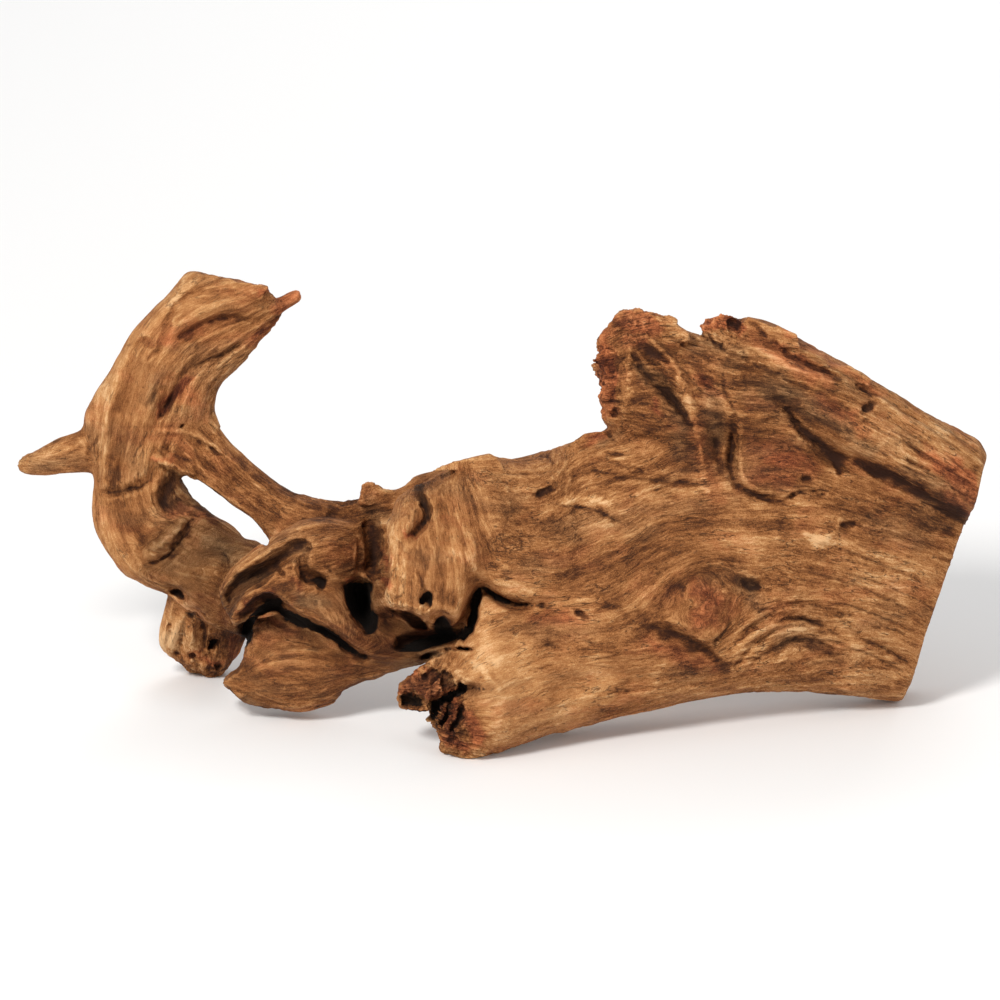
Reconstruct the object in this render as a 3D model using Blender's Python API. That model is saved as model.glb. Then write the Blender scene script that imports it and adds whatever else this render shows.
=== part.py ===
"""A piece of Malaysian driftwood: a sawn trunk that forks, with a curved horn, a strut and a gnarled middle.

Everything is drawn on a sketch plane that leans back from the ground, across to the right and up the plane
in millimetres. A third number sets how far back from the foremost foot a place is. Units in Blender are
metres, +Z up, and the origin is on the ground under the middle of the piece's box.
"""

import math

import bmesh
import bpy
import numpy as np
from mathutils import Vector, noise
from mathutils.bvhtree import BVHTree

MM = 0.001
LEAN = math.radians(20.0)

# Directions of the sketch plane in the part's own frame
ACROSS = np.array((1.0, 0.0, 0.0))
UP_PLANE = np.array((0.0, math.sin(LEAN), math.cos(LEAN)))
INTO_PLANE = np.array((0.0, math.cos(LEAN), -math.sin(LEAN)))

# How finely the wood is lofted, fused, carved and handed over
RING_SIDES = 64
RINGS_PER_SPAN = 5
FUSE_VOXEL = 0.003
CARVED_VOXEL = 0.003
FINAL_TRIANGLES = 11400
SHARP_ANGLE = 40.0

# Flutes down each limb: how many of each kind go round it, and how deep they are for its thickness
FLUTES = (3, 5, 8, 13)
FLUTE_DEPTH = 0.22
FLUTE_DRIFT = 0.9
FLUTE_SEED = 5

# Uneven surface, which is longer along the grain than across it
SWELL_HEIGHT = 3.0
SWELL_LENGTH = 170.0
SWELL_WIDTH = 45.0

# Torn and rotten places seen from the front: across, up, how far they reach and how rough they are
ROUGH_LENGTH = 20.0
ROUGH_SPOTS = (
    (104, 400, 72, 12),
    (196, 462, 60, 8),
    (-72, 46, 52, 7),
    (-315, 96, 42, 5),
    (-118, 195, 60, 3),
    (-240, 60, 50, 3),
    (-432, 322, 26, 3),
    (-240, 486, 30, 3),
)

# Each limb is a list of cuts from one silhouette edge to the other: the first edge's across and up, the
# second edge's across and up, how far back the middle is, and half of its thickness. Millimetres.
TRUNK = (
    (530, 286, 446, 57, 210, 58),
    (506, 306, 424, 58, 206, 62),
    (452, 350, 378, 62, 195, 68),
    (392, 374, 315, 67, 183, 76),
    (322, 392, 257, 67, 168, 80),
    (250, 394, 200, 58, 152, 82),
    (176, 374, 147, 47, 130, 80),
    (112, 347, 94, 33, 106, 76),
    (58, 326, 52, 25, 96, 70),
    (16, 313, 14, 60, 92, 66),
    (-42, 306, -42, 96, 116, 52),
    (-84, 297, -84, 104, 132, 46),
    (-126, 280, -121, 101, 145, 42),
    (-163, 268, -158, 101, 150, 42),
    (-191, 272, -205, 104, 158, 40),
    (-222, 279, -234, 165, 175, 30),
)
BOUGH = (
    (530, 296, 525, 240, 198, 44),
    (512, 318, 508, 244, 195, 48),
    (496, 336, 492, 250, 193, 52),
    (452, 362, 436, 270, 190, 58),
    (388, 397, 368, 301, 185, 62),
    (326, 433, 304, 322, 180, 66),
    (262, 462, 247, 333, 176, 68),
    (210, 446, 200, 322, 172, 68),
    (158, 467, 158, 322, 168, 66),
    (122, 462, 128, 335, 166, 62),
    (102, 436, 110, 350, 165, 58),
)
TUSK = (
    (150, 196, 147, 60, 108, 52),
    (66, 204, 79, 33, 74, 60),
    (14, 196, 21, 12, 47, 58),
    (-14, 184, -8, 3, 31, 53),
    (-42, 123, -34, -3, 22, 45),
    (-60, 108, -56, 6, 20, 38),
    (-72, 100, -68, 22, 22, 30),
)
TOE = (
    (-50, 100, -50, 40, 24, 34),
    (-76, 94, -76, 46, 24, 29),
    (-98, 82, -96, 49, 26, 22),
    (-107, 77, -105, 52, 28, 16),
)
BURL = (
    (130, 300, 130, 200, 135, 34),
    (74, 318, 79, 150, 105, 64),
    (21, 312, 21, 150, 84, 64),
    (-21, 314, -23, 181, 75, 62),
    (-63, 298, -47, 139, 70, 62),
    (-94, 282, -79, 142, 65, 58),
    (-120, 265, -115, 156, 65, 44),
)
STRUT = (
    (-178, 269, -200, 205, 165, 36),
    (-210, 275, -238, 223, 180, 30),
    (-231, 285, -248, 236, 192, 24),
    (-247, 298, -263, 250, 200, 21),
    (-268, 316, -287, 265, 209, 20),
    (-286, 334, -317, 289, 215, 20),
    (-298, 358, -345, 299, 222, 22),
    (-305, 380, -368, 325, 228, 24),
)
HORN = (
    (-327, 511, -240, 494, 232, 28),
    (-344, 496, -229, 468, 232, 36),
    (-367, 469, -247, 438, 233, 40),
    (-391, 442, -270, 413, 234, 42),
    (-410, 406, -294, 391, 235, 42),
    (-427, 381, -301, 364, 236, 40),
    (-438, 352, -309, 341, 236, 38),
    (-427, 312, -338, 312, 234, 36),
    (-427, 290, -337, 294, 230, 35),
    (-431, 259, -323, 276, 226, 36),
    (-425, 233, -310, 262, 222, 37),
    (-413, 214, -293, 253, 218, 38),
    (-398, 194, -275, 237, 213, 38),
    (-376, 180, -257, 227, 207, 38),
    (-350, 169, -242, 216, 201, 37),
    (-328, 150, -234, 204, 194, 36),
    (-299, 133, -210, 193, 182, 34),
    (-262, 123, -178, 175, 170, 30),
)
FOOT = (
    (-356, 208, -246, 196, 205, 40),
    (-350, 183, -248, 175, 213, 36),
    (-356, 154, -258, 152, 222, 34),
    (-361, 126, -268, 127, 232, 33),
    (-355, 109, -274, 109, 240, 31),
    (-338, 96, -282, 96, 246, 28),
    (-318, 85, -290, 85, 250, 22),
)
STUB = (
    (-418, 349, -418, 299, 236, 24),
    (-449, 338, -449, 298, 238, 18),
    (-477, 329, -477, 295, 240, 15),
    (-499, 320, -499, 296, 242, 11),
    (-510, 313, -510, 300, 243, 6),
)
HOOD = (
    (-150, 244, -150, 180, 134, 30),
    (-178, 250, -172, 160, 124, 42),
    (-203, 249, -198, 158, 116, 47),
    (-229, 236, -222, 152, 112, 48),
    (-256, 219, -249, 146, 112, 46),
    (-280, 199, -270, 142, 116, 40),
    (-297, 173, -279, 133, 122, 26),
)
JAW = (
    (-236, 190, -240, 152, 124, 26),
    (-213, 205, -218, 142, 116, 36),
    (-189, 207, -194, 130, 113, 40),
    (-163, 191, -168, 115, 112, 40),
    (-142, 158, -145, 100, 112, 36),
    (-116, 146, -121, 95, 110, 32),
    (-84, 139, -89, 94, 108, 30),
    (-52, 132, -56, 104, 104, 24),
)
LOBE = (
    (-293, 81, -293, 75, 135, 6),
    (-277, 97, -277, 66, 132, 18),
    (-267, 120, -265, 58, 131, 28),
    (-254, 145, -250, 52, 130, 36),
    (-231, 154, -226, 48, 128, 41),
    (-205, 146, -197, 49, 126, 41),
    (-173, 134, -166, 68, 124, 35),
    (-145, 118, -134, 84, 120, 26),
    (-110, 110, -105, 91, 112, 20),
)

# The limbs, each with how square its sections are
LIMBS = (
    (TRUNK, 2.5),
    (BOUGH, 2.3),
    (TUSK, 2.3),
    (TOE, 2.2),
    (BURL, 2.3),
    (STRUT, 2.6),
    (HORN, 2.6),
    (FOOT, 2.2),
    (STUB, 2.0),
    (HOOD, 2.3),
    (JAW, 2.2),
    (LOBE, 2.2),
)

# Shards, torn ends and crumbs that stand out: across and up of the root, across and up of the tip, how far
# back it is, and half of its width and of its thickness at the root. Millimetres.
SHARDS = (
    (-248, 468, -209, 487, 236, 13, 14),
    (-131, 266, -135, 287, 147, 15, 11),
    (-50, 298, -6, 313, 96, 7, 18),
    (134, 430, 97, 433, 160, 17, 30),
    (134, 402, 98, 404, 186, 15, 28),
    (134, 374, 100, 378, 156, 16, 30),
    (134, 428, 104, 446, 190, 16, 24),
    (146, 440, 136, 468, 164, 17, 20),
    (168, 440, 168, 468, 178, 19, 20),
    (188, 436, 188, 458, 164, 13, 22),
    (226, 434, 220, 463, 170, 14, 22),
    (244, 436, 238, 464, 180, 13, 20),
    (262, 436, 262, 463, 166, 11, 22),
    (-318, 299, -370, 316, 205, 9, 10),
    (-300, 105, -306, 80, 246, 14, 20),
    (-328, 112, -326, 88, 252, 13, 18),
    (-80, 68, -110, 58, 34, 12, 20),
    (-78, 80, -108, 72, 20, 11, 16),
    (-46, 34, -62, 8, 24, 15, 26),
    (-34, 34, -50, 0, 34, 14, 22),
    (-56, 60, -74, 36, 30, 13, 20),
)
SHARD_TIP = 0.6

# Steep hollows seen from the front: each is a run of places across and up, with half of the width and the
# depth at that place. Millimetres.
HOLLOWS = (
    # Eye between the hood and the burl, and the valley above it
    ((-150, 176, 13, 52), (-148, 162, 13, 60), (-140, 142, 9, 44)),
    ((-136, 254, 7, 9), (-135, 236, 10, 22), (-132, 217, 9, 30), (-137, 199, 7, 32)),
    # Under the hood's rim
    (
        (-285, 158, 7, 16),
        (-276, 176, 9, 26),
        (-263, 189, 10, 34),
        (-247, 197, 9, 34),
        (-231, 208, 9, 28),
        (-216, 218, 8, 24),
        (-206, 222, 7, 20),
    ),
    ((-204, 219, 4, 22), (-208, 200, 4, 26), (-199, 189, 6, 28), (-189, 185, 7, 26)),
    # Crack between the jaw and the lobe
    (
        (-268, 128, 6, 22),
        (-262, 146, 7, 34),
        (-248, 158, 9, 44),
        (-234, 160, 8, 44),
        (-221, 151, 6, 38),
        (-208, 143, 5, 34),
        (-190, 136, 4.5, 30),
        (-172, 125, 4, 26),
        (-155, 111, 4, 22),
        (-141, 102, 3, 16),
    ),
    # Recess under the burl, and the crack that runs up from it and along the trunk
    (
        (-104, 119, 8, 30),
        (-84, 123, 10, 44),
        (-63, 127, 10, 46),
        (-47, 129, 8, 44),
        (-36, 137, 7, 44),
        (-29, 152, 6, 42),
        (-25, 167, 6, 40),
        (-20, 179, 5, 38),
        (-13, 174, 5, 38),
        (0, 165, 5, 36),
        (16, 160, 5, 32),
        (32, 160, 3, 18),
        (50, 161, 3, 12),
    ),
    ((-62, 143, 12, 26), (-52, 138, 9, 30)),
    ((-122, 141, 10, 16), (-102, 137, 12, 18), (-88, 133, 9, 20)),
    ((-78, 170, 6, 18), (-77, 161, 6, 18)),
    ((-92, 268, 4, 7), (-79, 257, 5.5, 14), (-81, 245, 6.5, 14), (-92, 233, 6, 9)),
    ((-86, 283, 6, 14), (-84, 279, 5, 10)),
    # Rotten end of the tusk
    ((-25, 74, 5, 20), (-46, 68, 7, 28), (-62, 58, 8, 26), (-74, 43, 6, 15)),
    ((-80, 90, 8, 14), (-68, 88, 9, 14)),
    ((-96, 62, 7, 14), (-93, 60, 6, 10)),
    ((-52, 44, 8, 11), (-47, 36, 6, 8)),
    # Foot of the horn
    ((-349, 178, 4, 12), (-338, 173, 6.5, 20), (-327, 166, 4, 9)),
    ((-327, 151, 6, 16), (-322, 150, 5, 10)),
    ((-303, 121, 7, 18), (-303, 114, 6, 14)),
    # Beside the window and in the bend of the horn
    ((-350, 285, 8, 14), (-353, 268, 10, 18), (-346, 257, 7, 8)),
    ((-338, 387, 4, 6), (-349, 371, 6, 12), (-359, 352, 4, 6)),
    # Slot near the top of the bough
    ((366, 394, 3, 6), (384, 383, 6, 13), (400, 374, 3, 6)),
    ((239, 454, 8, 12), (245, 446, 7, 8)),
)

# Soft furrows, in the same form. A depth below zero is a ridge or a swelling.
FURROWS = (
    # Fold under the bough, and the creases along it
    (
        (296, 372, 8, 4),
        (322, 346, 14, 14),
        (344, 325, 18, 24),
        (368, 312, 16, 20),
        (399, 299, 13, 15),
        (436, 282, 12, 13),
        (472, 261, 11, 11),
        (502, 249, 10, 9),
    ),
    ((150, 430, 14, 8), (168, 398, 18, 14), (187, 373, 17, 12), (202, 349, 12, 6)),
    ((236, 419, 18, 5), (273, 408, 24, 9), (315, 391, 18, 6)),
    ((210, 375, 14, 6), (229, 343, 18, 9), (239, 312, 14, 6)),
    ((260, 447, 7, 6), (289, 433, 8, 8), (320, 415, 8, 8), (355, 396, 7, 5)),
    ((145, 455, 8, -5), (173, 412, 10, -8), (194, 375, 10, -8), (207, 333, 10, -7), (212, 291, 9, -4)),
    ((380, 360, 12, -4), (430, 328, 15, -7), (480, 298, 15, -6)),
    # Knot plate and the dark line round it
    ((262, 330, 26, -7), (300, 318, 26, -7), (330, 296, 20, -5)),
    ((236, 352, 7, 5), (244, 326, 10, 10), (247, 296, 8, 9)),
    ((246, 288, 7, 8), (264, 277, 8, 10), (284, 270, 8, 10), (302, 268, 7, 8), (336, 275, 6, 6)),
    ((344, 240, 24, -6), (300, 236, 22, -5)),
    # Swirl of a healed branch
    ((205, 172, 26, -10), (214, 158, 22, -8)),
    ((160, 168, 6, 4), (197, 189, 7, 6), (222, 194, 7, 6), (246, 182, 6, 4)),
    ((289, 190, 16, 5), (257, 165, 22, 10), (239, 123, 17, 7)),
    ((150, 140, 13, 5), (187, 123, 16, 10), (222, 104, 13, 6)),
    # Arches and hollows near the ground
    ((257, 129, 6, 4), (284, 142, 9, 8), (315, 145, 9, 8), (359, 130, 6, 4)),
    ((289, 118, 13, 5), (326, 118, 16, 9), (359, 104, 13, 6)),
    ((376, 126, 6, 5), (404, 117, 7, 9), (425, 105, 7, 9), (441, 92, 6, 6)),
    ((60, 70, 16, 5), (105, 84, 22, 7), (150, 84, 16, 5)),
    ((97, 306, 6, 4), (136, 301, 7, 7), (173, 290, 7, 7), (226, 286, 6, 4)),
    ((80, 266, 7, 4), (105, 260, 8, 6), (124, 249, 8, 6), (150, 238, 7, 4)),
    # Burl
    ((-40, 285, 20, -5), (0, 262, 26, -7), (-32, 215, 24, -7)),
    ((-104, 250, 9, -8), (-98, 243, 9, -8)),
    ((-58, 262, 9, 4), (-46, 236, 12, 7), (-44, 205, 9, 4)),
    # Flutes of the horn
    ((-244, 458, 8, 5), (-289, 458, 10, 9), (-320, 446, 10, 9), (-346, 425, 8, 5)),
    ((-275, 425, 8, 5), (-313, 415, 10, 9), (-338, 396, 10, 9), (-357, 370, 8, 5)),
    ((-262, 478, 8, -5), (-305, 474, 9, -6), (-345, 452, 9, -6), (-372, 418, 8, -5)),
    ((-385, 404, 8, 5), (-399, 364, 10, 9), (-403, 328, 10, 9), (-397, 293, 8, 5)),
    ((-367, 390, 8, -5), (-378, 350, 9, -6), (-378, 315, 8, -5)),
    ((-418, 275, 6, 7), (-395, 282, 7, 10), (-372, 290, 7, 10), (-364, 304, 6, 6)),
    ((-372, 202, 7, 6), (-349, 210, 8, 11), (-331, 236, 8, 11), (-319, 254, 7, 6)),
    ((-362, 222, 9, -5), (-345, 228, 9, -7), (-334, 246, 8, -4)),
    ((-302, 228, 8, 4), (-290, 200, 9, 6), (-272, 182, 8, 4)),
    # Flutes of the foot
    ((-336, 166, 6, 5), (-342, 140, 8, 9), (-338, 108, 7, 8)),
    ((-316, 160, 6, 5), (-317, 134, 7, 9), (-313, 104, 6, 8)),
    ((-296, 170, 6, 5), (-291, 140, 7, 8), (-290, 104, 6, 6)),
    # Lobe and jaw
    ((-250, 96, 12, -4), (-215, 104, 24, -6), (-180, 104, 18, -5)),
    ((-196, 172, 9, -6), (-178, 152, 10, -7), (-155, 130, 8, -5)),
    # Strut
    ((-236, 262, 6, 3), (-280, 296, 7, 6), (-318, 326, 7, 5)),
    ((-190, 252, 8, 8), (-172, 250, 8, 9), (-150, 256, 8, 6)),
)

# Furrows seen from behind, in the same form
BACK_FURROWS = (
    ((500, 282, 12, 10), (430, 296, 14, 14), (360, 322, 16, 15), (290, 342, 15, 12), (215, 366, 12, 8)),
    ((470, 150, 12, 7), (390, 168, 16, 12), (300, 158, 18, 13), (215, 150, 16, 10), (140, 140, 12, 6)),
    ((440, 222, 10, 6), (350, 232, 13, 10), (260, 246, 14, 11), (170, 250, 12, 9), (90, 238, 10, 5)),
    ((390, 98, 9, 6), (300, 104, 11, 9), (210, 98, 11, 9), (130, 84, 9, 5)),
    ((150, 300, 30, -10), (190, 290, 34, -12)),
    ((150, 286, 13, 14), (158, 280, 12, 14)),
    ((380, 262, 34, -9), (420, 250, 30, -8)),
    ((40, 268, 12, 8), (-20, 262, 15, 12), (-80, 240, 14, 10), (-140, 228, 11, 7)),
    ((30, 190, 11, 7), (-40, 186, 14, 11), (-110, 168, 12, 8)),
    ((-300, 480, 9, 6), (-335, 440, 12, 10), (-362, 390, 13, 11), (-378, 330, 11, 9), (-384, 270, 9, 6)),
    ((-280, 444, 9, 5), (-330, 396, 11, 8), (-345, 340, 9, 5)),
    ((-396, 230, 9, 6), (-350, 210, 12, 10), (-300, 180, 10, 7)),
    ((-320, 160, 7, 6), (-322, 130, 9, 9), (-312, 104, 7, 6)),
    ((-230, 130, 12, 6), (-190, 104, 15, 9), (-150, 100, 12, 5)),
)
STROKE_SPANS = 8
LEAST_FACING = 0.12

# The saw's cut across the trunk and the bough: across and up of two places on it
SAW_CUT = (510, 308, 425, 63)


def smooth_through(rows, spans):
    """Rows on a Catmull-Rom curve through the given ones, with so many spans between each two."""
    rows = np.array(rows, float)
    held = np.vstack((2 * rows[0] - rows[1], rows, 2 * rows[-1] - rows[-2]))
    found = []
    for start in range(len(rows) - 1):
        a, b, c, d = held[start : start + 4]
        for t in np.arange(spans) / spans:
            linear = (c - a) * t
            square = (2 * a - 5 * b + 4 * c - d) * t**2
            cube = (3 * b - a - 3 * c + d) * t**3
            found.append(b + (linear + square + cube) / 2)
    found.append(rows[-1])
    return np.array(found)


def power_circle(sides, power):
    """Points round a circle that a power above 2 makes fuller at its corners."""
    angles = np.arange(sides) * 2 * math.pi / sides
    wave = np.stack((np.cos(angles), np.sin(angles)), axis=1)
    return np.sign(wave) * np.abs(wave) ** (2 / power)


def flutes(phases, drift):
    """How far each point of a ring is drawn in or out, with the two silhouette edges left as they are."""
    angles = np.arange(RING_SIDES) * 2 * math.pi / RING_SIDES
    waves = sum((np.abs(np.cos((n * angles + phase + drift) / 2)) - 0.7) / n for n, phase in zip(FLUTES, phases))
    return 1 + FLUTE_DEPTH * np.sin(angles) ** 2 * waves


def add_limb(mesh, cuts, power, phases):
    """One closed loft through the cuts, its rings standing in the line of sight."""
    circle = power_circle(RING_SIDES, power)
    rings = []
    for count, (a1, b1, a2, b2, back, half) in enumerate(smooth_through(cuts, RINGS_PER_SPAN)):
        across, up = (a1 + a2) / 2, (b1 + b2) / 2
        into = (back - up * math.sin(LEAN)) / math.cos(LEAN)
        middle = across * ACROSS + up * UP_PLANE + into * INTO_PLANE
        edge = (a2 - a1) / 2 * ACROSS + (b2 - b1) / 2 * UP_PLANE
        ring = circle * flutes(phases, FLUTE_DRIFT * count / RINGS_PER_SPAN)[:, None]
        places = middle + ring[:, :1] * edge + ring[:, 1:] * half * INTO_PLANE
        rings.append([mesh.verts.new(place * MM) for place in places])
    for ring, following in zip(rings, rings[1:]):
        for i in range(RING_SIDES):
            j = (i + 1) % RING_SIDES
            mesh.faces.new((ring[i], ring[j], following[j], following[i]))
    mesh.faces.new(rings[0][::-1])
    mesh.faces.new(rings[-1])


def add_shard(mesh, a1, b1, a2, b2, back, half, thick):
    """A short limb that tapers from its root to its tip."""
    length = math.hypot(a2 - a1, b2 - b1)
    side = np.array((-(b2 - b1), a2 - a1)) / length
    cuts = []
    for share in (0.0, 0.5, 1.0):
        slimmer = 1 + (SHARD_TIP - 1) * share
        width = half * slimmer
        across, up = a1 + (a2 - a1) * share, b1 + (b2 - b1) * share
        first = (across + side[0] * width, up + side[1] * width)
        second = (across - side[0] * width, up - side[1] * width)
        cuts.append((*first, *second, back, thick * slimmer))
    add_limb(mesh, cuts, 2.0, np.zeros(len(FLUTES)))


def as_modified(piece):
    """The piece's mesh takes on what its modifiers make of it, and the modifiers go."""
    graph = bpy.context.evaluated_depsgraph_get()
    made = bpy.data.meshes.new_from_object(piece.evaluated_get(graph))
    piece.modifiers.clear()
    piece.data = made


def fused(piece, voxel, rounds):
    """One skin round everything in the piece, softened a few times."""
    remesh = piece.modifiers.new("fuse", "REMESH")
    remesh.mode = "VOXEL"
    remesh.voxel_size = voxel
    soften = piece.modifiers.new("soften", "SMOOTH")
    soften.factor = 0.5
    soften.iterations = rounds
    as_modified(piece)
    keep_largest(piece)


def keep_largest(piece):
    """Drops what isn't joined to the main body, such as the skin of a bubble inside it."""
    mesh = bmesh.new()
    mesh.from_mesh(piece.data)
    unseen = set(mesh.verts)
    bodies = []
    while unseen:
        body = {unseen.pop()}
        edge_of_body = list(body)
        while edge_of_body:
            vertex = edge_of_body.pop()
            fresh = {edge.other_vert(vertex) for edge in vertex.link_edges} & unseen
            unseen -= fresh
            body |= fresh
            edge_of_body.extend(fresh)
        bodies.append(body)
    largest = max(bodies, key=len)
    loose = [vertex for vertex in mesh.verts if vertex not in largest]
    bmesh.ops.delete(mesh, geom=loose, context="VERTS")
    mesh.to_mesh(piece.data)
    mesh.free()


def places_of(piece):
    """The piece's points, in metres, and its normals."""
    count = len(piece.data.vertices)
    points = np.empty(count * 3, np.float32)
    normals = np.empty(count * 3, np.float32)
    piece.data.vertices.foreach_get("co", points)
    piece.data.vertices.foreach_get("normal", normals)
    return points.reshape(-1, 3).astype(float), normals.reshape(-1, 3).astype(float)


def place(piece, points):
    piece.data.vertices.foreach_set("co", points.astype(np.float32).ravel())
    piece.data.update()


def stroke_depth(across, up, stroke, power):
    """How deep a stroke cuts at each place of the sketch plane."""
    depth = np.zeros(len(across))
    line = smooth_through(stroke, STROKE_SPANS)
    reach = line[:, 2].max()
    near = np.flatnonzero(
        (across > line[:, 0].min() - reach)
        & (across < line[:, 0].max() + reach)
        & (up > line[:, 1].min() - reach)
        & (up < line[:, 1].max() + reach)
    )
    for a, b, half, deep in line:
        share = ((across[near] - a) ** 2 + (up[near] - b) ** 2) / half**2
        cut = deep * np.clip(1 - share, 0, 1) ** power
        larger = np.abs(cut) > np.abs(depth[near])
        depth[near[larger]] = cut[larger]
    return depth


def in_sight(points, normals, tree, sight):
    """How squarely each point faces a viewer who looks along the sight, and nothing where it is hidden."""
    facing = np.clip((-normals @ sight - LEAST_FACING) / (0.5 - LEAST_FACING), 0, 1)
    towards = Vector(-sight)
    for i in np.flatnonzero(facing > 0):
        start = Vector(points[i]) + towards * MM
        if tree.ray_cast(start, towards)[0] is not None:
            facing[i] = 0
    return facing


def carve(piece):
    """Hollows and furrows pushed into the wood from the front, and furrows from behind."""
    points, normals = places_of(piece)
    tree = BVHTree.FromPolygons([Vector(p) for p in points], [list(f.vertices) for f in piece.data.polygons])
    across, up = points @ ACROSS / MM, points @ UP_PLANE / MM
    deepest = np.zeros(len(points))
    for stroke in HOLLOWS:
        deepest = np.maximum(deepest, stroke_depth(across, up, stroke, 0.5))
    shallow = sum(stroke_depth(across, up, stroke, 2.0) for stroke in FURROWS)
    front = in_sight(points, normals, tree, INTO_PLANE) * (deepest + shallow)
    behind = sum(stroke_depth(across, up, stroke, 2.0) for stroke in BACK_FURROWS)
    back = in_sight(points, normals, tree, -INTO_PLANE) * behind
    place(piece, points + np.outer(front - back, INTO_PLANE) * MM)


def roughen(piece):
    """Low swellings along the grain all over, and crumbled wood at the torn and rotten places."""
    points, normals = places_of(piece)
    scale = np.array((1 / SWELL_LENGTH, 1 / SWELL_WIDTH, 1 / SWELL_WIDTH)) / MM
    heights = np.array([noise.fractal(Vector(p * scale), 1.0, 2.0, 3) for p in points])
    heights *= SWELL_HEIGHT * np.abs(normals @ INTO_PLANE)
    across, up = points @ ACROSS / MM, points @ UP_PLANE / MM
    for a, b, reach, height in ROUGH_SPOTS:
        near = 1 - np.hypot(across - a, up - b) / reach
        for i in np.flatnonzero(near > 0):
            crumbs = noise.turbulence(Vector(points[i] / MM / ROUGH_LENGTH), 3, True)
            heights[i] += height * min(1.0, 2 * near[i]) * (crumbs - 0.7)
    place(piece, points + normals * (heights * MM)[:, None])


def slice_away(piece, at, normal):
    """Takes away what lies on the normal's side of a plane, and closes the cut with flat faces."""
    mesh = bmesh.new()
    mesh.from_mesh(piece.data)
    whole = mesh.verts[:] + mesh.edges[:] + mesh.faces[:]
    bmesh.ops.bisect_plane(mesh, geom=whole, dist=1e-6, plane_co=at, plane_no=normal, clear_outer=True)
    rim = [edge for edge in mesh.edges if edge.is_boundary]
    flat = bmesh.ops.holes_fill(mesh, edges=rim, sides=0)["faces"]
    bmesh.ops.triangulate(mesh, faces=flat)
    mesh.to_mesh(piece.data)
    mesh.free()


def saw(piece):
    a1, b1, a2, b2 = SAW_CUT
    along = (a1 - a2) * ACROSS + (b1 - b2) * UP_PLANE
    outward = np.cross(along, INTO_PLANE)
    outward *= np.sign(outward[0]) / np.linalg.norm(outward)
    slice_away(piece, Vector((a2 * ACROSS + b2 * UP_PLANE) * MM), Vector(outward))


def thin(piece, triangles):
    split = piece.modifiers.new("split", "TRIANGULATE")
    split.keep_custom_normals = False
    as_modified(piece)
    less = piece.modifiers.new("thin", "DECIMATE")
    less.ratio = triangles / len(piece.data.polygons)
    as_modified(piece)


def stand(piece):
    """Cuts the flat spots that it rests on, and brings the origin under the middle of the box."""
    slice_away(piece, Vector((0, 0, 0)), Vector((0, 0, -1)))
    points, _ = places_of(piece)
    middle = (points.min(axis=0) + points.max(axis=0)) / 2
    middle[2] = 0
    place(piece, points - middle)


def wood_material():
    wood = bpy.data.materials.new("driftwood")
    wood.use_nodes = True
    shader = wood.node_tree.nodes["Principled BSDF"]
    shader.inputs["Base Color"].default_value = (0.40, 0.22, 0.10, 1.0)
    shader.inputs["Roughness"].default_value = 0.8
    shader.inputs["Metallic"].default_value = 0.0
    return wood


def driftwood():
    mesh = bmesh.new()
    chance = np.random.default_rng(FLUTE_SEED)
    for cuts, power in LIMBS:
        add_limb(mesh, cuts, power, chance.uniform(0, 2 * math.pi, len(FLUTES)))
    for shard in SHARDS:
        add_shard(mesh, *shard)
    bmesh.ops.recalc_face_normals(mesh, faces=mesh.faces)
    data = bpy.data.meshes.new("driftwood")
    mesh.to_mesh(data)
    mesh.free()
    piece = bpy.data.objects.new("driftwood", data)
    bpy.context.scene.collection.objects.link(piece)
    fused(piece, FUSE_VOXEL, 5)
    carve(piece)
    roughen(piece)
    fused(piece, CARVED_VOXEL, 1)
    saw(piece)
    thin(piece, FINAL_TRIANGLES)
    stand(piece)
    piece.data.materials.append(wood_material())
    piece.data.shade_smooth()
    piece.data.set_sharp_from_angle(angle=math.radians(SHARP_ANGLE))


for old in list(bpy.data.objects):
    bpy.data.objects.remove(old)
driftwood()
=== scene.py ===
"""The looks of a piece of driftwood: finer wood in place of the plain solid, on a pale floor in soft light.

Places and sizes on the wood are given in pixels of the photograph, u to the right and v down. A pixel is a
place on a sketch plane that faces the camera, and the wood behind it gives the depth.
"""

import math

import bmesh
import bpy
import numpy as np
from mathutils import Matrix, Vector, noise
from mathutils.bvhtree import BVHTree


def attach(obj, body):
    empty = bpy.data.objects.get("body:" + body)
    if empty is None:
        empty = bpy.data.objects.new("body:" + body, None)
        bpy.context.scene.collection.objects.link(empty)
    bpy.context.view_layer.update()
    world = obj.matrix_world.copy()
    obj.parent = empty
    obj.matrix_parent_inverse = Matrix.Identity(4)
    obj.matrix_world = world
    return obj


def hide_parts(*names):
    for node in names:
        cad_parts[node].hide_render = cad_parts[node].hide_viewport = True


MM = 0.001
PIXEL = 1.05 * MM
LEAN = math.radians(20.0)

# Directions of the sketch plane, and where its own origin is in the part's frame
ACROSS = np.array((1.0, 0.0, 0.0))
UP_PLANE = np.array((0.0, math.sin(LEAN), math.cos(LEAN)))
INTO_PLANE = np.array((0.0, math.cos(LEAN), -math.sin(LEAN)))
SKETCH_ORIGIN = np.array((-1.876, -126.336, 0.0)) * MM
ORIGIN_U, ORIGIN_V = 500.0, 757.0

# The view: the pixel that the camera looks at, and how wide the picture is there
LOOK_AT = (500.0, 500.0)
FRAME_WIDTH = 1000 * 1.0485 * MM
LENS = 1000.0

# How fine the wood is when it is rounded, carved and furrowed, and when it is done
ROUNDED_VOXEL = 2.4 * MM
CARVED_VOXEL = 1.7 * MM
GRAINED_VOXEL = 1.6 * MM
ROUNDING = 6
FINAL_TRIANGLES = 195000
BACK_TRIANGLES = 45000
SAME_PLACE = 0.01 * MM

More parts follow.
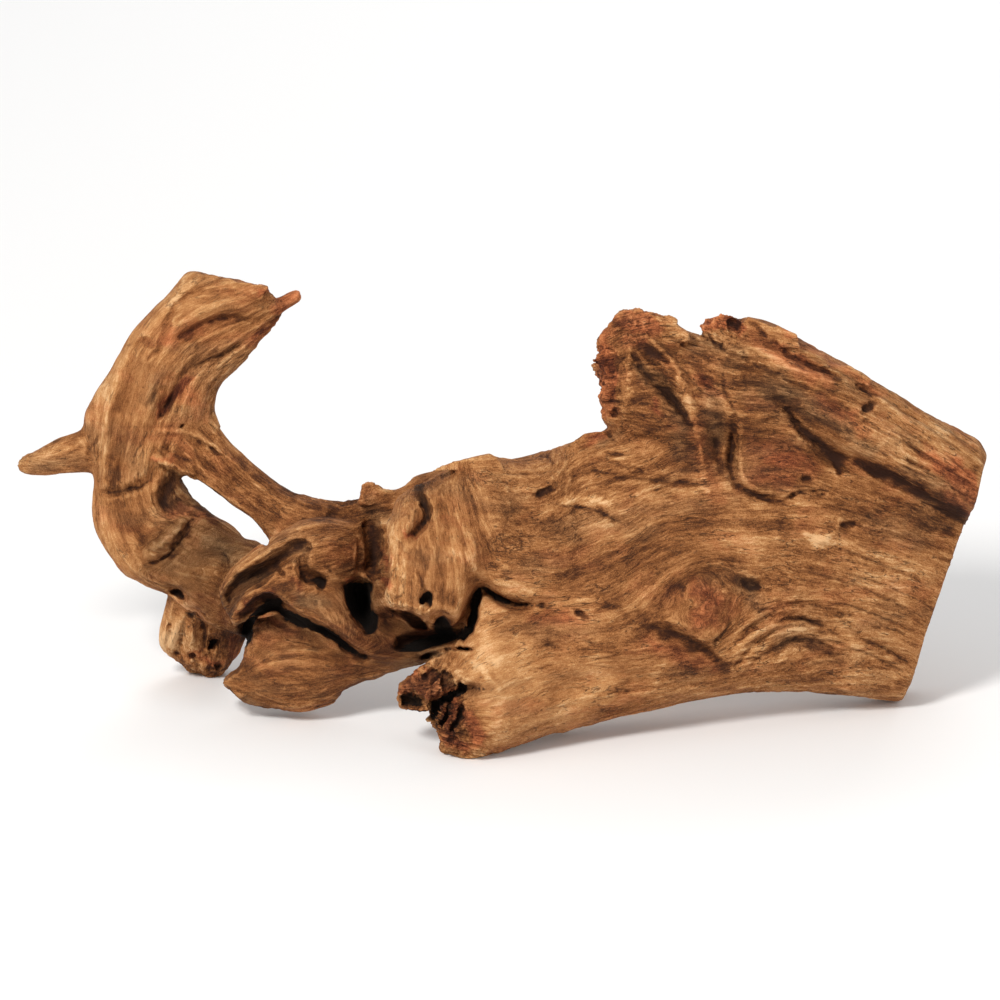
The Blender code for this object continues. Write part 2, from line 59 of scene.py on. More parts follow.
# How far the skin has to turn away to be thinned first, and to get none of the painted shade of the front's
# pits and cracks
BEHIND = 0.05
TURNED_AWAY = 0.3

# Noise: how much fainter and how much finer each octave is
NOISE_FALLOFF = 1.0
NOISE_STEP = 2.0

# Limbs that the grain follows. Each cut has its two silhouette edges, how far back the middle is behind the
# foremost foot, in millimetres, and half of its thickness in pixels.
GRAIN_LIMBS = (
    # Trunk
    (
        (1005, 485, 925, 703, 210, 58),
        (930, 424, 860, 698, 195, 68),
        (807, 384, 745, 693, 168, 80),
        (668, 401, 640, 712, 130, 80),
        (555, 447, 550, 733, 96, 70),
        (460, 466, 460, 666, 116, 52),
        (380, 490, 385, 661, 145, 42),
        (318, 498, 305, 658, 158, 40),
        (289, 491, 277, 600, 175, 30),
    ),
    # Bough
    (
        (1005, 475, 1000, 528, 198, 46),
        (930, 412, 915, 500, 190, 58),
        (810, 345, 790, 450, 180, 66),
        (700, 332, 690, 450, 172, 68),
        (640, 312, 640, 440, 168, 66),
        (597, 345, 604, 424, 165, 56),
    ),
    # Tusk
    (
        (643, 570, 640, 700, 108, 52),
        (563, 563, 575, 726, 74, 60),
        (487, 582, 492, 754, 31, 53),
        (443, 654, 446, 751, 20, 38),
        (401, 679, 403, 712, 26, 20),
    ),
    # Burl
    (
        (398, 494, 448, 488, 78, 46),
        (384, 520, 468, 510, 68, 58),
        (378, 570, 474, 558, 66, 60),
        (374, 616, 470, 606, 68, 52),
    ),
    # Strut
    (
        (330, 501, 310, 562, 165, 36),
        (280, 486, 264, 532, 192, 24),
        (245, 456, 227, 503, 209, 20),
        (210, 395, 150, 447, 228, 24),
    ),
    # Horn
    (
        (322, 240, 340, 300, 232, 36),
        (250, 262, 300, 330, 232, 36),
        (186, 275, 262, 352, 233, 40),
        (128, 322, 232, 376, 234, 42),
        (93, 394, 213, 410, 236, 42),
        (93, 470, 179, 476, 230, 35),
        (95, 535, 205, 516, 222, 37),
        (142, 586, 255, 541, 207, 38),
        (188, 614, 300, 562, 194, 36),
        (250, 640, 330, 590, 170, 30),
    ),
    # Foot
    (
        (170, 583, 264, 590, 215, 34),
        (156, 637, 245, 636, 232, 32),
        (178, 666, 231, 666, 246, 24),
    ),
    # Stub
    (
        (102, 425, 102, 472, 236, 24),
        (46, 444, 46, 476, 240, 15),
        (14, 459, 14, 471, 243, 6),
    ),
    # Hood
    (
        (357, 525, 357, 586, 134, 30),
        (307, 520, 311, 607, 116, 47),
        (256, 548, 263, 618, 112, 46),
        (217, 592, 234, 630, 122, 26),
    ),
    # Jaw
    (
        (275, 576, 271, 612, 124, 26),
        (320, 560, 315, 633, 113, 40),
        (365, 607, 362, 662, 112, 36),
        (450, 631, 447, 658, 104, 24),
    ),
    # Lobe
    (
        (221, 680, 221, 686, 135, 8),
        (246, 643, 248, 702, 131, 28),
        (280, 610, 285, 711, 128, 41),
        (335, 629, 342, 695, 124, 35),
        (395, 652, 400, 670, 112, 20),
    ),
)

# How sharply one limb's grain gives way to the next, the least share of a limb that still shapes the wood,
# and the least that is divided by
BLEND_SHARPNESS = 9.0
LEAST_SHARE = 0.03
SMALLEST_SHARE = 1e-6

# Limbs by number in sets that hardly touch each other, so that one set of coordinates serves all of a set
LIMB_SETS = ((0, 5, 9), (1, 2, 4, 6, 7, 10), (3, 8))

# The spans between two cuts of a limb, how widely its samples blend, and what keeps two limbs' noise apart
GRAIN_SPANS = 4
LINE_SOFTNESS = 22.0
LIMB_APART = 400

# Strokes: the spans between two places of a run, and how blunt each kind is, where 1 is a plain wedge
LINE_SPANS = 6
CUT_POWER = 0.7
CREASE_POWER = 1.0
CRACK_POWER = 0.5
STAIN_POWER = 0.8
PIT_POWER = 0.6

# Waves that keep drawn edges from being too even: length and height in pixels, octaves, and what keeps the
# two axes apart
EDGE_WAVES = (9.0, 1.6, 2, 30.0)
STAIN_WAVES = (14.0, 7.0, 3, 50.0)

# How squarely a point has to face the viewer to be carved, over what span that grows, where a point's own
# sight starts in front of it, and how far in front of the sketch plane the viewer's starts, in metres
LEAST_FACING = 0.05
FACING_SPAN = 0.25
CLEARANCE = 2 * MM
SIGHT_START = 1.0

# A pit's rim is read a little outside its outline, and what lies further off than this isn't rim
RIM_OUTSIDE = 1.1
RIM_SPREAD = 22.0

# For the painted shade of pits and cracks: wood so far behind a pit's floor isn't in the pit, and a crack
# counts so many times for how steep it is
PIT_REACH = 60.0
CRACK_SHADE = 3.0

# Knots that the grain flows round: u, v and radius
KNOTS = (
    (708, 606, 24),
)

# A knot's rings, its length along the grain against its width, how much depth counts in finding its middle,
# the length and height of its waves, and how soon they start within the rim
KNOT_RINGS = 0.35
KNOT_STRETCH = 1.6
KNOT_FRONT = 0.125
KNOT_WARP = (14.0, 5.0)
KNOT_WARP_RIM = 3

# Places where the sight passes beside the wood, so what the plain solid has there goes: outlines in u and v
NOTCHES = (
    # Beside the horn's spike
    (
        (268, 276), (290, 276), (286, 293.5), (279, 298.5), (275, 299), (270, 294.5), (267.5, 289),
        (269, 286),
    ),
    # Window between the horn and the strut
    (
        (177, 479), (183, 475), (190, 478.5), (201, 484), (212, 491), (222, 499), (232, 508),
        (243, 514), (252, 520), (260, 528), (268, 535.5), (271, 541), (269, 546), (266, 548.5),
        (261, 543), (254, 540.5), (243, 539.5), (238, 533), (228, 524.5), (215, 518), (206, 511),
        (196, 504), (189, 497), (183, 488),
    ),
    # Between the foot and the lobe
    (
        (236, 671), (241, 664), (244.5, 655), (245, 646), (242.5, 644), (239, 653), (234.5, 662),
        (231, 667.5), (230, 672),
    ),
    # Notches along the top
    ((387, 488), (394, 490.5), (401, 488), (409, 483), (412, 478), (400, 470), (386, 478)),
    ((580, 427), (598, 421), (603, 424.5), (613, 427.5), (608, 430), (600, 430.5), (580, 431.5)),
    (
        (678.5, 322), (676, 324.5), (680, 328.5), (686, 331), (694, 334), (703, 338), (706, 337),
        (701, 327), (699, 320), (688, 312),
    ),
)

# How far a notch reaches in front of the sketch plane and behind it
NOTCH_REACH = 900

# Splinters and broken edges beyond the plain solid. Each has an anchor u, v where the surface gives its
# depth, how far in front of that it starts, how thick it is and its outline.
SHARDS = (
    # Spike and corner of the horn
    (283, 302, 0, 8, (
        (250, 300), (268, 293), (275, 299), (279, 298.5), (286, 294.5), (294, 292), (300, 291),
        (299, 295), (292, 301.5), (285, 306), (280, 314), (262, 322),
    )),
    (250, 292, 1, 24, ((240, 281), (252, 282), (269, 286), (267.5, 290), (262, 300), (240, 300))),
    # Tip of the splinter under the strut
    (185, 464, 3, 9, (
        (150.5, 457), (155, 455), (165, 455.5), (178, 459), (190, 464), (196, 476), (183, 473),
        (172, 469), (158, 461),
    )),
    # Lump and torn edges along the top
    (372, 500, 0, 10, (
        (359, 504), (360.5, 492), (363, 484), (367, 481.5), (372, 482), (378, 486), (386, 490.5),
        (394, 492), (394, 504),
    )),
    (465, 472, 0, 14, (
        (430, 472), (440, 466), (447, 463.5), (456, 461), (468, 459.5), (480, 457), (490, 454.5),
        (494, 457), (500, 461), (504, 470),
    )),
    (595, 442, 0, 14, (
        (566, 446), (576, 438.5), (584, 432.5), (592, 430.5), (607, 430.5), (612, 438), (606, 446),
    )),
    # Bough's torn left end
    (610, 358, 0, 18, (
        (602, 348), (600, 352), (596, 356), (590.5, 360.5), (594, 363), (599, 365), (601, 369),
        (612, 368), (612, 348),
    )),
    (630, 330, 2, 24, (
        (598, 346), (597.5, 337), (603, 332), (607, 329.5), (608, 325), (611.5, 322), (615, 315),
        (620, 311), (626, 310), (633, 310), (634, 308.5), (641, 309), (645, 311), (652, 313),
        (664, 316), (668, 315), (673, 317), (677.5, 320), (678, 322), (675, 324.5), (680, 329),
        (688, 332), (690, 342), (650, 345),
    )),
    # Crag, and the start of the long ridge
    (722, 338, 2, 16, (
        (703, 339), (704, 333), (700, 327), (699.5, 324.5), (706, 323.5), (709, 324), (712, 320),
        (710, 316.5), (714, 316.5), (720, 313.5), (727, 314.5), (734, 316.5), (741, 323), (743, 340),
        (720, 345),
    )),
    (765, 340, 1, 20, (
        (740, 324), (744, 321.5), (748, 316), (754, 318.5), (770, 325), (774, 326.5), (777, 324),
        (785, 328), (797, 335), (800, 350), (745, 345),
    )),
    (856, 380, 0, 14, (
        (842, 364), (846, 366), (849, 364.5), (856, 369), (862, 373.5), (870, 380), (868, 388),
        (846, 380),
    )),
    # Upper side of the tusk's rotten end
    (440, 675, 0, 18, (
        (409.5, 682), (411, 676), (414, 670.5), (418, 666.5), (430, 659), (446, 654), (456, 662),
        (440, 684),
    )),
    # Lobe's tip
    (246, 676, 0, 14, (
        (220.5, 683.5), (225, 680.5), (236, 673.5), (246, 666), (254, 690), (240, 696), (232, 689),
        (226, 686),
    )),
)

# Pulls that bring the outline where the photograph has it: u, v, the shift across and down, and the reach
PULLS = (
    (84, 428, -1, -3, 26),
    (160, 640, -1, 2, 26),
    (184, 664, 0, 3, 18),
    (262, 345, 0, -3, 34),
    (975, 500, 3, 2, 34),
    (912, 664, 2, 1, 34),
    (60, 440, 0, -4, 30),
    (170, 290, 2, 2, 24),
    (245, 698, -2, 3, 24),
    (330, 700, 2, 3, 18),
    (375, 676, 0, 3, 14),
    (404, 708, 0, 3, 14),
    (444, 752, -3, 3, 12),
    (478, 458, 0, -2, 40),
    (650, 700, 0, 2, 40),
    (982, 440, 2, -2, 20),
    (930, 408, -1, 2, 40),
    (602, 388, -2, 0, 20),
    (600, 410, -2, 0, 14),
    (388, 508, 6, 4, 18),
    (384, 596, -6, 0, 22),
)

# Pits with steep walls, seen from the front: how deep, how wide the wall is and the outline
PITS = (
    # Eye between the hood and the burl, and the valley above it
    (17, 2.0, (
        (342, 583), (352, 583), (358, 582), (362, 584), (368, 581), (372, 584), (373, 588), (371, 595),
        (371, 608), (374, 612), (378, 615), (379, 622), (376, 630), (371, 634), (367, 634), (363, 628),
        (358, 622), (352, 617), (348, 609), (345, 597),
    )),
    (6, 9.0, (
        (361, 524), (369, 518), (380, 521), (385, 533), (378, 545), (384, 558), (379, 568), (382, 579),
        (372, 583), (367, 575), (374, 562), (370, 549), (367, 537),
    )),
    # Hollow under the hood's rim, its slit and the groove beside the stalk
    (8, 7.0, (
        (219, 612), (221, 592), (232, 578), (250, 566), (272, 552), (285, 544), (297, 538), (306, 539),
        (312, 545), (303, 552), (290, 556), (281, 562), (274, 574), (262, 586), (250, 592), (240, 602),
        (232, 616), (227, 624),
    )),
    (5, 4.0, (
        (224, 596), (234, 582), (252, 570), (270, 559), (284, 559), (276, 566), (262, 571), (250, 578),
        (238, 590), (228, 606),
    )),
    (7, 2.0, ((252, 584), (257, 577), (264, 573), (266, 576), (260, 583))),
    (5, 2.0, ((273, 564), (280, 568), (285, 574), (286, 579), (282, 576), (276, 569))),
    (11, 2.0, (
        (313, 547), (311, 551), (306, 553), (303, 559), (302, 566), (304, 573), (309, 579), (316, 577),
        (319, 577), (325, 577), (327, 582), (323, 590), (318, 588), (315, 584), (306, 583), (301, 577),
        (299, 568), (299, 558), (303, 551), (309, 546),
    )),
    # Concave face under the shell, and the crack between the jaw and the lobe
    (9, 7.0, (
        (234, 626), (239, 612), (249, 600), (262, 593), (272, 591), (281, 599), (284, 608), (274, 604),
        (262, 607), (252, 616), (246, 626),
    )),
    (17, 1.8, (
        (243, 624), (251, 615), (262, 605), (270, 599), (281, 599), (283, 606), (290, 611), (300, 615),
        (310, 620), (322, 625), (333, 631), (343, 639), (352, 647), (361, 653), (370, 659), (368, 661),
        (361, 658), (351, 654), (343, 650), (334, 642), (324, 636), (312, 631), (300, 627), (287, 621),
        (278, 612), (270, 611), (258, 618), (252, 626), (253, 640), (248, 646), (242, 650), (240, 640),
    )),
    # Dark inner side of the foot
    (7, 6.0, (
        (221, 632), (229, 628), (240, 624), (248, 640), (243, 655), (233, 668), (224, 672), (220, 652),
    )),
    # Black recess under the burl and its two cracks
    (15, 2.0, (
        (398, 652), (404, 645), (415, 641), (427, 637), (436, 633), (433, 625), (437, 617), (444, 615),
        (450, 621), (452, 629), (457, 634), (466, 625), (469, 614), (471, 603), (474, 592), (478, 586),
        (485, 585), (484, 590), (482, 598), (480, 606), (479, 616), (476, 627), (471, 635), (464, 642),
        (456, 640), (446, 643), (434, 646), (422, 651), (410, 652),
    )),
    (10, 1.6, (
        (419, 658), (430, 653), (441, 649.5), (452, 647), (462, 645), (466, 646), (475, 646.5),
        (476, 649), (466, 650.5), (455, 651), (445, 652.5), (434, 656), (424, 660),
    )),
    (15, 1.0, (
        (482, 584), (487, 586), (495, 591.5), (503, 596.5), (512, 600.5), (526, 603.5), (527, 607),
        (512, 606.5), (502, 603.5), (493, 599), (484, 592),
    )),
    # Folds of the burl
    (10, 2.2, (
        (415, 484), (421, 482), (425, 487), (424, 493), (428, 500), (432, 508), (432, 516), (428, 523),
        (421, 530), (414, 537), (411, 535), (417, 527), (423, 519), (425, 512), (421, 505), (416, 498),
        (413, 491),
    )),
    (13, 2.0, (
        (419, 601), (422, 594), (429, 589), (433, 593), (434, 600), (432, 605), (429, 607), (425, 603),
        (422, 607),
    )),
    (6, 3.0, (
        (372, 610), (386, 609), (400, 609), (412, 612), (421, 617), (426, 622), (432, 631), (420, 631),
        (410, 626), (398, 617), (384, 613),
    )),
    # Rotten end of the tusk
    (20, 2.5, (
        (474, 688), (466, 684), (459, 682), (457, 689), (449, 692), (440, 697), (431, 703), (430, 712),
        (433, 720), (437, 717), (442, 709), (449, 702), (458, 697), (466, 692),
    )),
    (12, 2.0, ((400, 694), (412, 691), (421, 698), (425, 708), (412, 707), (402, 705))),
    (7, 2.0, ((421, 678), (432, 668), (440, 666), (440, 676), (433, 682), (424, 681))),
    (7, 2.0, ((441, 672), (446, 668), (452, 675), (455, 684), (452, 691), (442, 690), (440, 680))),
    (11, 1.8, (
        (449, 700), (455, 703), (453, 711), (448, 719), (442, 727), (438, 724), (442, 715), (445, 707),
    )),
    (11, 1.8, (
        (460, 704), (465, 707), (463, 717), (458, 726), (452, 733), (449, 730), (453, 721), (457, 712),
    )),
    (5, 2.0, ((444, 738), (450, 734), (457, 739), (454, 744), (447, 743))),
    # Foot of the horn
    (11, 1.8, (
        (166, 592), (172, 589.5), (178, 588), (181, 592), (187, 599), (182, 600), (176, 597),
        (171, 594),
    )),
    (11, 1.8, (
        (184, 613), (187, 612), (195, 612), (201, 618), (201, 625), (197, 619), (193, 616), (192, 620),
        (186, 619),
    )),
    (12, 1.8, ((205, 650), (208, 642), (211, 639), (217, 640), (215, 644), (212, 651))),
    (6, 2.0, ((184, 656), (188, 654), (195, 655), (194, 659), (187, 660))),
    (6, 2.0, ((170, 652), (175, 650), (178, 657), (172, 657))),
    (6, 2.5, ((212, 664), (218, 660), (221, 668), (214, 673))),
    (4, 1.5, ((201, 613), (207, 612), (207, 617), (202, 617))),
    # Pocket of the horn, and its small holes
    (8, 9.0, (
        (166, 470), (176, 468), (192, 480), (212, 500), (216, 516), (196, 512), (176, 514), (160, 513),
        (151, 505), (149, 494), (155, 482), (160, 475),
    )),
    (8, 1.5, ((176, 427), (179, 423), (183, 421), (184, 425), (181, 429))),
    (10, 1.2, ((209, 403), (212, 406), (212, 412), (209, 410))),
    (6, 1.5, ((163, 444), (167, 442), (170, 450), (172, 455), (167, 453))),
    (5, 1.5, ((156, 460), (164, 465), (176, 472), (180, 477), (172, 476), (160, 469))),
    # Bough
    (5, 6.0, ((635, 348), (645, 343), (656, 350), (668, 358), (670, 364), (656, 361), (645, 359))),
    (6, 3.0, ((724, 321), (733, 318), (741, 323), (740, 331), (730, 333))),
    (8, 1.4, ((854, 383), (860, 384.5), (868, 390), (876, 397), (874, 399), (864, 393), (856, 387))),
    (6, 2.0, ((860, 409), (866, 405), (873, 398), (876, 402), (872, 411), (862, 415))),
    (6, 6.0, (
        (781, 408), (790, 409), (800, 422), (812, 432), (825, 441), (837, 452), (844, 463), (843, 474),
        (837, 475), (831, 467), (820, 459), (808, 447), (799, 436), (793, 424),
    )),
    (8, 5.0, ((808, 437), (820, 440), (832, 450), (841, 461), (836, 469), (824, 460), (812, 449))),
    (7, 4.5, (
        (851, 457), (865, 462), (880, 466), (896, 472), (911, 481), (926, 489), (941, 499), (956, 507),
        (972, 516), (966, 525), (950, 518), (935, 508), (915, 499), (895, 489), (880, 482), (863, 473),
    )),
    (4, 1.5, ((903, 459), (912, 460), (925, 466), (930, 470), (918, 467), (906, 463))),
    (4, 1.5, ((903, 440), (914, 445), (925, 453), (931, 461), (922, 458), (910, 448))),
    (6, 2.0, ((700, 331), (706, 336), (716, 342), (731, 350), (722, 350), (708, 345), (702, 339))),
    (7, 3.5, (
        (732, 481), (740, 483), (748, 489), (760, 494), (773, 498), (785, 499), (786, 502), (772, 503),
        (757, 499), (743, 491), (733, 485),
    )),
    (5, 1.5, (
        (786, 499), (792, 493), (800, 490), (810, 489.5), (820, 491), (834, 496), (820, 495),
        (808, 493), (798, 494), (790, 500),
    )),
    (5, 1.5, ((798, 479), (803, 475), (812, 476), (812, 480), (802, 481))),
    (8, 1.2, ((815, 516), (818, 514.5), (821, 516), (817, 519))),
    (4, 1.2, ((820, 504), (828, 505), (834, 508), (822, 508))),
    (5, 2.0, ((840, 523), (846, 519), (856, 521), (858, 526), (848, 530), (841, 529))),
    (5, 1.5, ((600, 373), (604, 380), (606, 388), (601, 384))),
    (5, 2.0, ((611, 409), (616, 408), (619, 414), (613, 420), (610, 416))),
    # Trunk
    (6, 1.5, ((605, 431), (611, 430), (614, 440), (612, 442))),
    (5, 2.5, ((533, 496), (540, 490), (549, 486), (557, 488), (548, 494), (538, 499))),
    (5, 2.5, ((573, 609), (580, 609), (588, 616), (592, 622), (583, 619), (575, 615))),
    (5, 1.5, ((538, 603), (543, 602), (548, 604), (545, 606), (539, 606))),
    (5, 1.5, ((847, 683), (853, 683), (853, 687), (847, 687))),
    (5, 3.0, ((740, 580), (752, 577), (763, 583), (762, 591), (748, 592), (741, 588))),
    (4, 3.0, ((668, 592), (676, 587), (686, 584), (684, 589), (674, 594))),
)

# Cracks and grooves with rounded bottoms: runs of u, v, half width and depth
CUTS = (
    # Long furrows of the bough, arches round the knot and cracks of the trunk's right part
    ((690, 338, 2, 3), (740, 358, 2.5, 5), (800, 385, 2.5, 5), (850, 410, 2, 4)),
    ((860, 372, 1.5, 3), (900, 396, 2, 4), (940, 424, 2, 4), (975, 450, 1.5, 3)),
    ((800, 352, 1.5, 2), (860, 384, 2, 4), (910, 416, 2, 4), (960, 450, 1.5, 3)),
    ((820, 398, 1.5, 2), (870, 424, 2, 4), (930, 458, 2, 4), (975, 486, 1.5, 3)),
    ((845, 440, 1, 2), (885, 452, 1.5, 3), (930, 472, 1.5, 3)),
    ((735, 668, 2, 2), (752, 646, 3, 4), (776, 630, 3, 5), (800, 626, 2.5, 4), (826, 634, 2, 3)),
    ((742, 676, 2, 2), (762, 656, 2.5, 4), (786, 646, 2.5, 4)),
    (
        (728, 650, 2, 2), (748, 630, 3, 4), (772, 612, 3, 4), (800, 604, 3, 4), (840, 612, 2, 3),
        (880, 628, 2, 3),
    ),
    ((790, 566, 1.5, 2), (840, 580, 2, 4), (890, 600, 2, 4), (925, 618, 1.5, 3)),
    ((800, 540, 1.5, 2), (850, 552, 2, 4), (905, 574, 2, 4), (935, 590, 1.5, 3)),
    ((830, 640, 1.5, 2), (870, 655, 2, 4), (905, 672, 1.5, 3)),
    # Single cracks
    (
        (101, 493, 1.5, 2), (112, 492, 2, 5), (124, 490, 2.5, 6), (137, 487, 2.5, 6), (148, 481, 2, 5),
        (151, 472, 1, 3),
    ),
    ((188, 378, 3, 2), (178, 390, 5, 4), (169, 403, 6, 5), (161, 414, 5, 4), (154, 423, 3, 2)),
    ((147, 432, 1.2, 3), (139, 445, 1.5, 4), (134, 456, 1.2, 3)),
    (
        (145, 564, 2, 4), (156, 562, 3, 6), (166, 555, 3, 5), (176, 544, 3, 5), (185, 532, 3, 5),
        (193, 520, 3, 4),
    ),
    ((217, 548, 1, 3), (226, 557, 1.3, 4), (229, 567, 1, 3)),
    ((190, 435, 1, 2), (203, 444, 2, 4), (214, 452, 2.5, 5), (224, 457, 1.5, 3)),
    ((172, 455, 1.5, 3), (185, 459, 2, 4), (200, 464, 1.5, 3), (220, 475, 1, 2)),
    ((200, 618, 2, 5), (203, 634, 2.5, 8), (201, 652, 2, 5)),
    ((184, 618, 2, 4), (180, 636, 2.5, 7), (177, 654, 2, 4)),
    ((216, 640, 1.5, 5), (218, 658, 2, 6)),
    ((165, 615, 2, 3), (168, 632, 2.5, 5), (163, 648, 2, 3)),
    ((194, 660, 1.5, 4), (196, 668, 1.5, 4)),
    ((300, 519, 1.5, 3), (310, 520, 1.5, 4), (322, 521, 2, 5), (330, 514, 1.5, 4), (346, 515, 1, 2)),
    ((330, 571, 2, 5), (328, 566, 1.5, 3)),
    ((437, 541, 1.5, 2), (440, 554, 1.5, 3), (436, 562, 1.5, 2)),
    ((418, 572, 2.5, 3), (422, 582, 2.5, 4), (424, 590, 2, 3)),
    ((398, 556, 1.5, 3), (399, 564, 1.5, 3)),
    ((386, 556, 2, 2), (390, 562, 2.5, 3), (388, 567, 1.5, 2)),
    ((396, 598, 1.2, 3), (402, 595, 1.2, 3)),
    ((474, 688, 1, 6), (485, 688.5, 0.8, 4), (498, 690, 0.6, 2)),
    ((523, 605, 1.5, 6), (536, 605, 1.2, 5), (546, 606, 1.6, 6), (551, 606, 0.8, 2)),
    ((590, 470, 1.5, 2), (600, 471, 1.5, 4), (611, 475, 1, 2)),
    ((605, 453, 1.5, 3), (616, 454, 2, 4), (630, 455, 1, 2)),
    ((608, 462, 1.5, 2), (625, 466, 2, 3), (648, 474, 1, 2)),
    ((622, 476, 1.5, 2), (650, 480, 2, 4), (680, 482, 1.8, 4), (706, 485, 1, 2)),
    ((640, 430, 1, 1), (655, 437, 1.2, 3), (680, 442, 1, 2)),
    ((655, 326, 1.5, 2), (675, 340, 2, 4), (695, 353, 2, 4), (716, 363, 1.2, 2)),
    ((681, 359, 1.5, 3), (692, 366, 2, 4), (702, 376, 2, 4), (712, 379, 1.5, 3)),
    ((681, 368, 1.5, 2), (690, 380, 1.5, 3), (702, 392, 1.5, 3)),
    ((722, 376, 1.5, 2), (724, 390, 2, 4), (730, 403, 2, 4), (737, 416, 1.5, 3)),
    ((722, 420, 1.2, 2), (734, 425, 1.5, 4), (740, 430, 1.2, 3)),
    ((725, 339, 1.2, 3), (736, 347, 1.2, 3), (745, 352, 1, 2)),
    ((747, 322, 1.5, 2), (757, 328, 2, 4), (767, 338, 1.5, 3), (771, 345, 1, 2)),
    ((772, 340, 2, 3), (784, 352, 3, 5), (800, 361, 3.5, 6), (820, 371, 3.5, 6), (845, 378, 2.5, 3)),
    ((722, 361, 4, 3), (740, 366, 5, 5), (760, 371, 4, 5), (780, 376, 2.5, 4), (800, 381, 1.5, 2)),
    ((830, 405, 1, 2), (850, 413, 1.2, 3), (870, 425, 1, 2)),
    ((942, 452, 1, 2), (955, 462, 1.2, 3), (970, 476, 1, 2)),
    ((945, 462, 1.2, 3), (950, 468, 1.5, 4), (956, 470, 1.2, 3)),
    ((946, 480, 1.2, 3), (952, 487, 1.5, 4), (960, 491, 1.5, 4), (970, 498, 1.2, 3), (978, 503, 1, 2)),
    ((955, 492, 1.2, 3), (952, 502, 1, 2)),
    ((968, 474, 1.2, 3), (974, 480, 1.2, 3)),
    ((830, 498, 1, 2), (850, 499, 1.2, 3), (872, 503, 1, 2)),
    ((885, 516, 1, 2), (895, 520, 1.3, 3), (906, 524, 1, 2)),
    (
        (552, 504, 1, 2), (570, 506, 1.5, 4), (590, 509, 1.5, 4), (604, 515, 1.5, 5), (618, 522, 1, 3),
        (634, 526, 0.8, 1),
    ),
    ((733, 619, 1, 2), (725, 630, 1.5, 6), (715, 643, 1.8, 7)),
    ((580, 640, 1.2, 2), (590, 641, 1.5, 4), (602, 644, 1, 2)),
    ((614, 690, 1.2, 2), (623, 689, 1.5, 4), (630, 691, 1, 2)),
    ((600, 608, 1.5, 2), (610, 605, 2, 4), (622, 606, 1.2, 2)),
    ((530, 650, 1.5, 2), (545, 645, 2, 4), (562, 649, 1.5, 3)),
    ((555, 690, 1.2, 2), (575, 688, 1.5, 3), (600, 695, 1, 2)),
    ((652, 628, 2.5, 2), (668, 632, 4, 5), (690, 640, 5, 6), (712, 656, 4, 5), (730, 668, 2.5, 3)),
    ((775, 622, 2, 2), (790, 619, 2.5, 5), (806, 620, 2.5, 5), (824, 627, 2, 4), (842, 637, 1.5, 2)),
    ((774, 648, 2, 3), (790, 641, 3, 5), (812, 640, 3, 5), (830, 648, 2, 3)),
    ((860, 638, 1, 2), (878, 645, 1.8, 5), (898, 656, 1.8, 5), (912, 664, 1, 2)),
    ((868, 618, 1, 2), (885, 626, 1.5, 4), (905, 634, 1.2, 3)),
    ((820, 600, 1, 2), (850, 606, 1.5, 4), (885, 618, 1.5, 4), (915, 632, 1, 2)),
    ((840, 572, 1, 2), (870, 580, 1.5, 4), (905, 594, 1.5, 4), (930, 606, 1, 2)),
    ((860, 545, 1, 2), (890, 556, 1.5, 3), (925, 572, 1, 2)),
    ((820, 560, 1, 2), (845, 560, 1.5, 3), (872, 566, 1, 2)),
    ((760, 560, 1, 2), (780, 556, 1.5, 3), (800, 560, 1, 2)),
    ((605, 556, 1, 2), (640, 548, 1.5, 3), (680, 551, 1, 2)),
    ((500, 540, 1, 2), (530, 536, 1.5, 3), (560, 540, 1, 2)),
    ((480, 478, 1, 2), (510, 474, 1.5, 3), (545, 474, 1, 2)),
    ((642, 520, 1, 2), (670, 516, 1.5, 3), (705, 522, 1, 2)),
    ((540, 474, 1, 2), (552, 472, 1.2, 3), (560, 474, 1, 2)),
    ((757, 690, 1, 2), (775, 686, 1.5, 3), (795, 688, 1, 2)),
)

